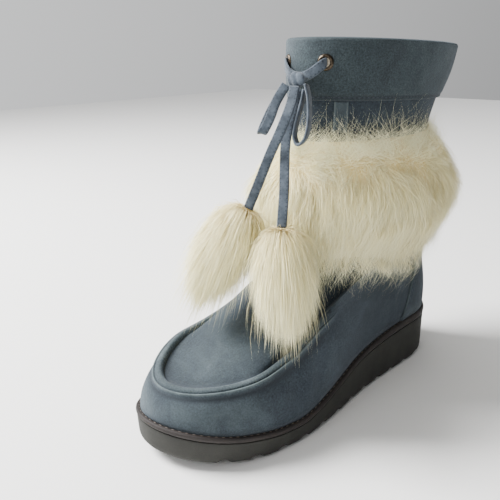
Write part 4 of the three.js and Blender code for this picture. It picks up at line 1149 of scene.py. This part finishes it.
SECTION_ACROSS = [-5.6, -6, -6, -5.6, -2, 2, 5.6, 6, 6, 5.6]
SECTION_DEEP = [0, 0.4, 1.2, LOOP_WALL, LOOP_WALL, LOOP_WALL, LOOP_WALL, 1.2, 0.4, 0]
SECTION_WEAR = [0.6, 0.6, 0.6, 0.3, 0, 0, 0.3, 0.6, 0.6, 0.6]
LOOP_COLUMNS = 120
loop_rows = []
for across, deep in zip(SECTION_ACROSS, SECTION_DEEP):
    bx, by = stadium(LOOP_COLUMNS, LOOP_DEPTH / 2 - deep, LOOP_HEIGHT - 2 * deep)
    loop_rows.append(loop_seat + bx[:, None] * loop_back + by[:, None] * loop_up + np.array([across, 0, 0]))
pull_loop = make_piece(
    "pull_loop_strip",
    np.array(loop_rows) + SHIFT,
    [grid_faces(len(loop_rows), LOOP_COLUMNS, over=True)],
    cuff_suede,
    {"wear": np.repeat(SECTION_WEAR, LOOP_COLUMNS), "shade_and_dirt": np.zeros(len(loop_rows) * LOOP_COLUMNS)},
    sharp=50,
)
stand_in(pull_loop, "pull_loop")

# %% Brass and eyelets
aged_brass, tree = new_material("darkened_brass")
tarnish = noise(tree, place_in(tree), 900.0, 4.0)
brass_colour = ramp(tree, tarnish, [(0.35, "#2b251f"), (0.7, "#584e41")])
finish(tree, {"Base Color": brass_colour, "Metallic": 1.0, "Roughness": 0.36})


def shaft_spot(x, height):
    """The point of the shaft at a distance from the middle line, with its outward direction."""
    turn = front_turn(x, height)
    up = shaft_share(height)
    spot = shaft_point(turn, up)
    beside = shaft_point(turn - 0.02, up) - shaft_point(turn + 0.02, up)
    over = shaft_point(turn, shaft_share(height + 4)) - shaft_point(turn, shaft_share(height - 4))
    normal = unit(np.cross(beside, over))
    normal = normal if normal[1] < 0 else -normal
    side = np.sign(x)
    return spot * [side, 1, 1], normal * [side, 1, 1]


def directions_round(normal, count):
    """Unit directions round an axis."""
    across = unit(np.cross([0, 0, 1.0], normal))
    upward = np.cross(normal, across)
    angle = np.arange(count) / count * 2 * np.pi
    return np.cos(angle)[:, None] * across + np.sin(angle)[:, None] * upward


hole, flange = EYELET_HOLE / 2, EYELET_WIDTH / 2
profile = [(hole, -5.7), (hole + 0.8, -5.7), (hole + 0.8, 0)]
profile += [(flange - 0.15, 0), (flange, 0.25), (flange - 0.2, 0.6)]
profile += [(lerp(hole, flange, share), h) for share, h in [(0.66, 1.2), (0.45, 1.4), (0.2, 1.2)]]
profile += [(hole + 0.02, 0.6)]
EYELET_SIDES, PUNCH_SIDES = 64, 32
eyelet_seats = []
for side, name in [(1, "outer"), (-1, "inner")]:
    spot, normal = shaft_spot(side * EYELET_SPACING / 2, EYELET_HEIGHT)
    seat = spot + normal * (GAP + CUFF_THICK + 2 * GAP)
    eyelet_seats.append((seat, normal))
    away = directions_round(normal, EYELET_SIDES)
    round_points = np.array([seat + normal * h + r * away for r, h in profile])
    eyelet_faces = grid_faces(len(profile), EYELET_SIDES, over=True)
    piece_name = "eyelet_" + name + "_brass"
    eyelet = make_piece(piece_name, round_points + SHIFT, [eyelet_faces], aged_brass, sharp=60)
    stand_in(eyelet, "eyelet_" + name)


# %% Bores through cuff and wall
def bored(piece, radius, length):
    """Cuts a round hole for each eyelet, as the punch does, and keeps the result as the mesh."""
    for seat, normal in eyelet_seats:
        ring = radius * directions_round(normal, PUNCH_SIDES)
        points = np.concatenate([seat + normal * length + ring, seat - normal * length + ring]) + SHIFT
        end = np.arange(PUNCH_SIDES)
        caps = np.array([end[::-1], end + PUNCH_SIDES])
        cutter = make_piece("punch", points, [grid_faces(2, PUNCH_SIDES), caps], piece.data.materials[0])
        cut = piece.modifiers.new("punch", "BOOLEAN")
        cut.object, cut.operation, cut.solver = cutter, "DIFFERENCE", "EXACT"
        graph = bpy.context.evaluated_depsgraph_get()
        mesh = bpy.data.meshes.new_from_object(piece.evaluated_get(graph))
        piece.modifiers.clear()
        old = piece.data
        piece.data = mesh
        bpy.data.meshes.remove(old)
        bpy.data.objects.remove(cutter)


bored(cuff, hole + 1.0, 12)
bored(upper, hole + 1.0, 12)
print("cuff", len(cuff.data.polygons), "upper", len(upper.data.polygons))

# %% [markdown]
# Lace
#
# The lace is a flat strip of suede, 6.5 mm wide, with a row of needle holes near each edge. It comes
# out of both eyelets to a bow: two loops hang from the knot, and two ends, each with a pompom. The
# routes' points are those of the model's source. A strip is a rounded rectangle carried along a
# smooth curve, with its width kept in a chosen direction.

# %% Smooth path
def between(t, start, end, low, high):
    return (end - t) / (end - start) * low + (t - start) / (end - start) * high


def smooth_path(points, count):
    """A centripetal Catmull-Rom curve through the points, read at even steps of its length."""
    p = np.array(points, dtype=float)
    p = np.concatenate([[2 * p[0] - p[1]], p, [2 * p[-1] - p[-2]]])
    knots = np.concatenate([[0], np.cumsum(np.linalg.norm(np.diff(p, axis=0), axis=1) ** 0.5)])
    out = []
    for i in range(1, len(p) - 2):
        t = np.linspace(knots[i], knots[i + 1], 24, endpoint=False)[:, None]
        times, rows = knots[i - 1 : i + 3], list(p[i - 1 : i + 3])
        for first, reach in [(0, 1), (0, 2), (1, 1)]:
            starts, ends = times[first:], times[first + reach :]
            rows = [between(t, starts[k], ends[k], rows[k], rows[k + 1]) for k in range(len(rows) - 1)]
        out.append(rows[0])
    fine = np.concatenate(out + [p[-2:-1]])
    along = distances(fine)
    return read_path(fine, along, np.linspace(0, along[-1], count)), along[-1]


STRIP_SIDES, STRIP_STEPS = 20, 70


def strip(name, points, across, narrow=0.0):
    """A flat strip along a path: its section is a rounded rectangle of the lace's width and thickness."""
    count = STRIP_STEPS
    path, length = smooth_path(points, count)
    tangent = unit(np.gradient(path, axis=0))
    across = np.broadcast_to(np.array(across, dtype=float), path.shape)
    wide = unit(across - tangent * np.einsum("ij,ij->i", across, tangent)[:, None])
    thick = np.cross(tangent, wide)
    t = np.linspace(0, 1, count)
    width = LACE_WIDTH * (1 - narrow * bell(t, 0, 0.09)) * (1 - narrow * bell(t, 1, 0.09))
    ring = np.arange(STRIP_SIDES)
    a = ring / STRIP_SIDES * 2 * np.pi
    sx = np.sign(np.cos(a)) * np.abs(np.cos(a)) ** 0.35 * 0.5
    sy = np.sign(np.sin(a)) * np.abs(np.sin(a)) ** 0.55 * 0.5
    sy = sy * (1 - 0.25 * (np.abs(sx) > 0.42))
    rings = path[:, None] + wide[:, None] * (sx[None, :, None] * width[:, None, None])
    rings = rings + thick[:, None] * (sy[None, :, None] * LACE_THICK)
    every = np.concatenate([rings.reshape(-1, 3), path[[0, -1]]])
    last = count * STRIP_SIDES
    ends = np.concatenate([fan(ring, last), fan(ring + last - STRIP_SIDES, last + 1, turned=True)])
    values = {
        "across": np.concatenate([np.tile(sx * 2, count), [0, 0]]),
        "along": np.concatenate([np.repeat(t * length, STRIP_SIDES), [0, length]]),
    }
    piece = make_piece(name, every + SHIFT, [grid_faces(count, STRIP_SIDES), ends], lace_suede, values)
    return piece, path, length


# %% Lace material
PRICK_PITCH, PRICK_ACROSS = 2.6, 0.64
lace_suede, tree = new_material("flat_suede_lace")
place = place_in(tree)
nap = noise(tree, place, 160.0, 5.0, 0.65)
fibre = noise(tree, place, 1800.0, 2.0)
lace_colour = ramp(tree, nap, [(0.3, "#2d343c"), (0.72, "#535c66")])
# A needle hole comes every 2.6 mm along both edges, a little in from the edge. It is painted dark, as painted
# shade in the hole, and pressed in by the relief.
edge_far = calc(tree, "ABSOLUTE", value_of(tree, "across"))
edge_mm = calc(tree, "MULTIPLY", calc(tree, "SUBTRACT", edge_far, PRICK_ACROSS), LACE_WIDTH / 2)
cycle = calc(tree, "PINGPONG", value_of(tree, "along"), PRICK_PITCH)
cycle_mm = calc(tree, "SUBTRACT", cycle, PRICK_PITCH / 2)
far = calc(tree, "ADD", calc(tree, "POWER", edge_mm, 2.0), calc(tree, "POWER", cycle_mm, 2.0))
needle_hole_shade = span(tree, far, 0.05, 0.3, 0.8, 0.0)
sockets = {
    "Base Color": mix(tree, needle_hole_shade, lace_colour, linear("#1f242a")),
    "Roughness": 0.95,
    "Specular IOR Level": 0.15,
    "Sheen Weight": 0.2,
    "Normal": relief_of(tree, calc(tree, "SUBTRACT", fibre, needle_hole_shade), 0.6, 0.0004),
}
finish(tree, sockets)

# %% Routes of the lace
(outer_seat, outer_way), (inner_seat, inner_way) = eyelet_seats
bar_route = [
    outer_seat - outer_way * 3.5,
    outer_seat + outer_way * 1.6,
    [10.5, -8.6, 236.8],
    [3, -9.7, 233.8],
    [-5, -9.7, 234.5],
    [-10, -8.6, 236.9],
    inner_seat + inner_way * 1.6,
    inner_seat - inner_way * 3.5,
]
loop_inner = [
    [-3.3, -18.2, 229.2], [-6.4, -24, 219.5], [-7.5, -29, 209], [-9.5, -32.6, 201.5],
    [-11.4, -33.2, 199.2], [-13, -30.5, 201], [-11.2, -25.5, 211], [-8.8, -20, 220.5],
    [-7.4, -14.8, 227.4],
]
loop_outer = [
    [12.9, -17.4, 229.6], [16, -18.6, 222.4], [19.2, -21.5, 212.9], [21.6, -25.5, 203.6],
    [21.4, -28.5, 197.3], [18, -30.3, 194], [14.2, -29.5, 198], [12.8, -26.5, 206],
    [12.4, -22.5, 214.5], [11.4, -18.6, 221], [10.1, -15.8, 225.2],
]
end_inner = [
    [4.4, -18.9, 228.4], [7, -24.5, 220], [8.7, -31, 211.8], [7.3, -36, 201.6],
    [5, -43, 188], [0.4, -47.6, 172], [-3.4, -51.4, 159], [-4.4, -54, 153],
]
end_outer = [
    [5.2, -15.2, 226.6], [5.8, -18.8, 219], [5.6, -25, 206.8], [8, -31.5, 193.1],
    [14.7, -40, 178.9], [19.6, -46, 164.7], [22.9, -51, 153.3], [24, -53, 145.5],
]
flat_across, edge_across = [0.85, 0.5, 0], [0.35, -0.95, 0]

bar, _, _ = strip("lace_between_eyelets", bar_route, [0, 0, 1.0], narrow=0.35)
stand_in(bar, "lace_bar")
laces = {}
for name, route, across in [
    ("lace_loop_outer", loop_outer, edge_across),
    ("lace_loop_inner", loop_inner, flat_across),
    ("lace_end_outer", end_outer, flat_across),
    ("lace_end_inner", end_inner, flat_across),
]:
    laces[name] = strip(name + "_strip", route, across)
    stand_in(laces[name][0], name)
    print(name, round(laces[name][2], 1), "mm")

# %% Knot
KNOT_ROWS, KNOT_COLUMNS = 28, 40
knot_place, knot_half = np.array([3, -15, 232.3]), np.array([6.6, 4.0, 5.2])
knot_angle = np.arange(KNOT_COLUMNS) / KNOT_COLUMNS * 2 * np.pi
knot_lat, knot_lon = np.meshgrid(np.linspace(0.02, np.pi - 0.02, KNOT_ROWS), knot_angle, indexing="ij")
knot_swell = 1 + 0.10 * np.cos(3 * knot_lon + 1) * np.sin(knot_lat) ** 2
flat_cos = np.sign(np.cos(knot_lon)) * np.abs(np.cos(knot_lon)) ** 0.8
level = np.sin(knot_lat)
knot_ball = np.stack([flat_cos * level, np.sin(knot_lon) * level, np.cos(knot_lat)], axis=-1)
knot_form = knot_ball * knot_half * knot_swell[..., None]
turn_line = knot_form[..., 0] + 0.35 * knot_form[..., 2]
knot_crease = 1 - 0.16 * bell(turn_line, 2.2, 0.8) - 0.16 * bell(turn_line, -3.0, 0.8)
pole = np.array([0, 0, knot_half[2]])
knot_points = (knot_place + knot_form * knot_crease[..., None]).reshape(-1, 3)
knot_points = np.concatenate([knot_points, [knot_place + pole, knot_place - pole]])
ring, last = np.arange(KNOT_COLUMNS), KNOT_ROWS * KNOT_COLUMNS
pole_faces = np.concatenate([fan(ring, last), fan(ring + last - KNOT_COLUMNS, last + 1, turned=True)])
knot_values = {
    "across": np.concatenate([(knot_form[..., 0] / knot_half[0]).ravel() * 0.3, [0, 0]]),
    "along": np.concatenate([(knot_form[..., 2]).ravel(), [0, 0]]),
}
knot_faces = [grid_faces(KNOT_ROWS, KNOT_COLUMNS), pole_faces]
knot = make_piece("lace_knot_turns", knot_points + SHIFT, knot_faces, lace_suede, knot_values)
stand_in(knot, "lace_knot")

# %% [markdown]
# Fur
#
# The fur is a long cream pile. Each hair is a narrow ribbon of a few faces, tapered to its tip, and
# the hairs stand in locks: the hairs of one lock start apart and lean together. Hair is warm tan at
# its root, where little light gets to it, and cream at its tip, so a value that runs along each hair
# sets its colour. A hair's path is worked out in the fur's own directions: round the shaft, up it
# and out from it. It starts near the hide, comes out to the fur's face and falls along it.

# %% Fur material
fur_pile, tree = new_material("long_cream_pile")
cream_stops = [(0.0, "#e4ca86"), (0.3, "#f2e0a2"), (0.65, "#fcf2b8"), (1.0, "#fffcd4")]
cream = ramp(tree, value_of(tree, "along"), cream_stops)
# A hair's colour is scaled by a value that holds its random tone and, on the fur band, painted shade low
# down.
sockets = {
    "Base Color": scaled(tree, cream, span(tree, value_of(tree, "tint_and_shade"), 0.0, 1.0, 0.8, 1.03)),
    "Roughness": 0.5,
    "Specular IOR Level": 0.35,
    "Sheen Weight": 0.25,
}
finish(tree, sockets)
hide = dull("tan_pile_ground", "#dfc684", "#f0e0a6", 700, 1.0, 0.0015, sheen=0.2)

# %% Ribbons for hairs
def hairs(name, paths, outward, widths, tint_and_shade_values, rng, pale=0.0):
    """paths is hair by step by 3. Each hair becomes a tapered ribbon, almost flat to the fur's face."""
    count, steps = paths.shape[:2]
    tangent = unit(np.gradient(paths, axis=1))
    flat = unit(np.cross(tangent, outward))
    lift = np.cross(flat, tangent)
    tilt = rng.normal(0, 0.32, (count, 1, 1))
    wide = flat * np.cos(tilt) + lift * np.sin(tilt)
    s = np.linspace(0, 1, steps)
    taper = (1 - 0.5 * s)[None, :-1, None] * widths[:, None, None] / 2
    left, right = paths[:, :-1] - wide[:, :-1] * taper, paths[:, :-1] + wide[:, :-1] * taper
    pairs = np.stack([left, right], axis=2).reshape(count, -1, 3)
    every = np.concatenate([pairs, paths[:, -1:]], axis=1)
    per = every.shape[1]
    k = np.arange(steps - 2)
    quads = np.stack([2 * k, 2 * k + 1, 2 * k + 3, 2 * k + 2], axis=-1)
    tip = np.array([[2 * (steps - 2), 2 * (steps - 2) + 1, 2 * (steps - 2) + 2]])
    start = (np.arange(count) * per)[:, None, None]
    faces = [(quads[None] + start).reshape(-1, 4), (tip[None] + start).reshape(-1, 3)]
    along = np.concatenate([np.repeat(s[:-1], 2), [1.0]])
    colour_place = np.minimum(along[None, :] + np.broadcast_to(pale, count)[:, None], 1)
    values = {"along": colour_place.ravel(), "tint_and_shade": np.repeat(tint_and_shade_values, per)}
    piece = make_piece(name, every.reshape(-1, 3) + SHIFT, faces, fur_pile, values, closed=False)
    print(name, count, "hairs", count * (2 * (steps - 2) + 1), "triangles")
    return piece


# %% The fur's own directions
FUR_FORM = [(0, 0.24), (0.12, 0.6), (0.3, 0.94), (0.52, 1), (0.66, 0.9), (0.8, 0.66), (0.92, 0.36), (1, 0.1)]


def skirt_height(turn):
    place = curve(TURNS, share_of(turn))
    return FUR_SKIRT + FUR_FRONT_RISE * ease(place, 0.35, 0.75) + 16 * (1 - ease(place, 0.36, 0.55))


def around_shaft(turn, height, far):
    """The shaft's ring at a height, moved out by `far` in its own level."""
    up = np.maximum(shaft_share(height), 0)
    spot = shaft_point(turn, up)
    beside = shaft_point((turn + 0.99) % 1, up) - shaft_point((turn + 0.01) % 1, up)
    away = unit(np.stack([-beside[..., 1], beside[..., 0], np.zeros_like(up)], axis=-1))
    inside_point = np.stack([spot[..., 0], spot[..., 1] - HEEL_BACK / 2, np.zeros_like(up)], axis=-1)
    sign = np.where(np.einsum("...i,...i->...", away, inside_point) < 0, -1.0, 1.0)
    away = away * sign[..., None]
    spot = spot + away * np.asarray(far)[..., None]
    spot[..., 2] = height
    return spot, away


def fur_at(turn, share, deep, stand=0.0):
    """A point of the fur. Share 0 is its skirt and 1 its top, and deep 1 is its face.

    A hair that stands keeps its root's form.
    """
    turn = np.asarray(turn) % 1
    low = skirt_height(turn)
    height = low + (FUR_TOP - low) * share
    form = curve(FUR_FORM, np.clip(share, 0, 1)) + 0.3 * bell(share, -0.08, 0.16)
    form = lerp(form, form[:, :1], stand)
    return around_shaft(turn, height, FUR_DEPTH * form * deep)


# %% Ground of the fur
GROUND_ROWS, GROUND_COLUMNS = 26, 200
ground_share = np.linspace(0, 1, GROUND_ROWS)[:, None] * np.ones((1, GROUND_COLUMNS))
ground_turn = np.ones((GROUND_ROWS, 1)) * (np.arange(GROUND_COLUMNS) / GROUND_COLUMNS)[None, :]
ground_out, _ = fur_at(ground_turn, ground_share, 0.7)
ground_height = lerp(skirt_height(ground_turn), FUR_TOP, ground_share)
ground_in, _ = around_shaft(ground_turn, ground_height, np.full(ground_turn.shape, 1.0))
ground_points = np.concatenate([ground_out, ground_in[::-1]])
ground_faces = grid_faces(2 * GROUND_ROWS, GROUND_COLUMNS, over=True)
ground = make_piece("fur_ground", ground_points + SHIFT, [ground_faces], hide)
stand_in(ground, "fur_band")

# %% Locks of the fur band
rng = np.random.default_rng(7)
LOCKS, PER_LOCK, STEPS = 4900, 14, 5
COMBED_UP_FROM, COMBED_UP_TO, STRAYS_BELOW, STRAYS_ABOVE = 0.72, 0.92, 0.09, 0.15
HAIR_THIN, HAIR_THICK = 0.16, 0.32
lock_turn = rng.random(LOCKS)
lock_share = rng.beta(1.12, 0.9, LOCKS) * 0.95
lock_fall = rng.uniform(0.22, 0.42, LOCKS) * lerp(0.42, 1, ease(lock_share, 0, 0.5))
lock_deep = rng.uniform(0.9, 1.06, LOCKS)
lock_tint = rng.uniform(0.2, 1, LOCKS)


def drift(turn, share, seed, low, high):
    """A smooth random field over the fur, about -1 to 1: sum of sin(2 pi (m turn + n share) + phase)."""
    local = np.random.default_rng(seed)
    total = np.zeros_like(turn)
    for _ in range(8):
        waves, rise, phase = local.integers(low, high), local.uniform(-4, 4), local.uniform(0, 2 * np.pi)
        total = total + np.sin(2 * np.pi * (waves * turn + rise * share) + phase)
    return total / 4


lock_swing = 0.012 * drift(lock_turn, lock_share, 31, 8, 34) + 0.012 * drift(lock_turn, lock_share, 35, 2, 8)
lock_swing = lock_swing + rng.normal(0, 0.006, LOCKS)
lock_parting = 0.05 * drift(lock_turn, lock_share, 32, 3, 14) + rng.normal(0, 0.02, LOCKS)
lock_swell = 0.1 * drift(lock_turn, lock_share, 33, 8, 30) + 0.09 * drift(lock_turn, lock_share, 34, 3, 9)


def band_hairs(name, picks, seed):
    """The hairs of some locks. Near the top a lock is combed up, and below it, it falls."""
    local = np.random.default_rng(seed)
    lock = np.repeat(picks, PER_LOCK)
    count = len(lock)
    s = np.linspace(0, 1, STEPS)[None, :]
    upward = ease(lock_share[lock] + lock_parting[lock], COMBED_UP_FROM, COMBED_UP_TO)[:, None]
    stray = (local.random((count, 1)) < lerp(STRAYS_BELOW, STRAYS_ABOVE, upward)).astype(float)
    spread_turn = local.normal(0, 0.009, (count, 1))
    spread_share = local.normal(0, 0.04, (count, 1))
    together = 1 - 0.46 * s**1.2
    fall = lock_fall[lock][:, None] * local.uniform(0.75, 1.15, (count, 1)) * (1 + 0.9 * stray)
    rise = 0.08 + local.exponential(0.03, (count, 1)) + local.uniform(0.05, 0.3, (count, 1)) * stray
    share = lock_share[lock][:, None] + spread_share * together + lerp(-fall, rise, upward) * s**1.35
    swing = lock_swing[lock][:, None] * (1 + 2.2 * upward) + local.normal(0, 0.004, (count, 1))
    swing = swing + local.normal(0, 0.03, (count, 1)) * stray
    turn = lock_turn[lock][:, None] + spread_turn * together + swing * s**1.5
    deep_tip = (lock_deep[lock] + lock_swell[lock])[:, None] * local.uniform(0.8, 1.07, (count, 1))
    deep_tip = deep_tip + 0.16 * stray
    deep = lerp(0.42, deep_tip, np.sin(np.pi / 2 * np.clip(s * 1.15, 0, 1)))
    deep = deep * lerp(1, 1.0 - 0.12 * s**2, upward)
    paths, away = fur_at(turn, share, deep, upward * 0.85)
    curl = local.normal(0, 0.9, (count, 1, 3)) * (1 + stray)[..., None] * np.sin(np.pi * s)[..., None]
    shake = (s * (1 - 0.9 * np.maximum(stray, upward)))[..., None]
    paths = paths + curl + local.normal(0, 0.16, (count, STEPS, 3)) * shake
    # Painted shade: the hairs of the fur's lower part are darkened, and stray hairs are lifted out of it.
    low = 1 - ease(lock_share[lock], 0.0, 0.45)
    tints = 0.5 * lock_tint[lock] + 0.35 * local.random(count) + 0.15 - 0.5 * low + stray[:, 0]
    widths = local.uniform(HAIR_THIN, HAIR_THICK, count) * (1 - 0.62 * stray[:, 0]) * (1 - 0.3 * upward[:, 0])
    # Upward and stray hairs start further along the colour ramp, with less of the root's painted shade.
    pale = 0.45 * np.maximum(upward, stray)[:, 0]
    hairs(name, paths, away, widths, np.clip(tints, -0.6, 1), local, pale=pale)


for k, picks in enumerate(np.array_split(np.arange(LOCKS), 3)):
    band_hairs("fur_hair_" + str(k + 1), picks, 20 + k)

# %% [markdown]
# Pompoms
#
# A pompom is a tuft of the same pile, bound round a short core at the lace's end. A hair near the
# binding starts out sideways and a little up, one near the core's foot starts downwards, and each
# bends down under its weight: p(s) = root + L d (s - 0.42 s^2) + 0.7 L g s^2, with L the hair's
# length, d the way it starts and g the way it hangs.

# %% Pompoms
CORE_LENGTH, CORE_ROWS, CORE_COLUMNS = 38.0, 16, 32
CORE_FORM = [(0, 2.0), (0.15, 6.0), (0.5, 9.5), (0.85, 7.0), (1, 3.0)]
TUFT_LOCKS, TUFT_PER_LOCK, TUFT_STEPS = 900, 15, 5


def pompom(name, top, hang, seed):
    local = np.random.default_rng(seed)
    down = unit(np.array(hang, dtype=float))
    heavy = unit(down + np.array([0, 0, -0.7]))
    start = np.array(top) + down * (GAP + LACE_THICK / 2)
    across = unit(np.cross([0, 1.0, 0], down))
    aside = np.cross(down, across)

    def out_at(angle):
        return across * np.cos(angle)[..., None] + aside * np.sin(angle)[..., None]

    share = np.linspace(0.0, 1.0, CORE_ROWS)[:, None] * np.ones((1, CORE_COLUMNS))
    angle = np.ones((CORE_ROWS, 1)) * (np.arange(CORE_COLUMNS) / CORE_COLUMNS * 2 * np.pi)[None, :]
    core_points = start + down * (CORE_LENGTH * (0.04 + share))[..., None]
    core_points = core_points + out_at(angle) * curve(CORE_FORM, share)[..., None]
    end = np.arange(CORE_COLUMNS)
    core_caps = np.array([end[::-1], end + (CORE_ROWS - 1) * CORE_COLUMNS])
    core_faces = [grid_faces(CORE_ROWS, CORE_COLUMNS), core_caps]
    core = make_piece(name + "_ground", core_points + SHIFT, core_faces, hide)
    stand_in(core, name)
    lock_at, lock_angle = local.random(TUFT_LOCKS) ** 0.9, local.random(TUFT_LOCKS) * 2 * np.pi
    lock_lean, tint_lock = local.normal(0, 0.14, TUFT_LOCKS), local.random(TUFT_LOCKS)
    lock_length = local.uniform(24, 33, TUFT_LOCKS)
    lock = np.repeat(np.arange(TUFT_LOCKS), TUFT_PER_LOCK)
    count = len(lock)
    s = np.linspace(0, 1, TUFT_STEPS)[None, :, None]
    at = np.clip(lock_at[lock] + local.normal(0, 0.04, count), 0, 1)
    angles = lock_angle[lock] + local.normal(0, 0.16, count)
    away = out_at(angles)
    roots = start + down * (CORE_LENGTH * at)[:, None] + away * (curve(CORE_FORM, at) * 0.7)[:, None]
    lean = np.radians(lerp(112, 14, at**0.85)) + lock_lean[lock] + local.normal(0, 0.1, count)
    begin = down * np.cos(lean)[:, None] + away * np.sin(lean)[:, None]
    stray = 1 + 0.4 * (local.random(count) < 0.06)
    long = (lock_length[lock] * local.uniform(0.78, 1.1, count) * stray)[:, None, None]
    paths = roots[:, None] + long * (begin[:, None] * (s - 0.42 * s**2) + 0.7 * heavy * s**2)
    toward = away + 0.25 * local.normal(0, 1, away.shape)
    paths = paths + toward[:, None] * (1.3 * np.sin(np.pi * s) * local.normal(0, 1, (count, 1, 1)))
    outward = np.broadcast_to(away[:, None], paths.shape)
    tints = np.clip(0.5 * tint_lock[lock] + 0.5 * local.random(count), 0, 1)
    tuft = hairs(name + "_hair", paths, outward, local.uniform(0.18, 0.36, count), tints, local)
    return core, tuft


inner_core, inner_tuft = pompom("pompom_inner", end_inner[-1], [-0.38, -0.42, -0.82], 61)
outer_core, outer_tuft = pompom("pompom_outer", end_outer[-1], [0.1, -0.02, -1], 62)

# %% The lace's strips with the pieces that meet them, listed and left as they are
for name, extra in [
    ("lace_loop_outer", (knot, bar)),
    ("lace_loop_inner", ()),
    ("lace_end_outer", (outer_core, outer_tuft)),
    ("lace_end_inner", (inner_core, inner_tuft)),
]:
    list(extra)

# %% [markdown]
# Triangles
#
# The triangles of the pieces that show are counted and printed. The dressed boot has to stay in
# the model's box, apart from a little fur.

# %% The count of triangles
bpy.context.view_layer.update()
shown = [o.data for o in bpy.context.scene.objects if o.type == "MESH" and not o.hide_render]
print("triangles", sum(len(p.vertices) - 2 for mesh in shown for p in mesh.polygons))
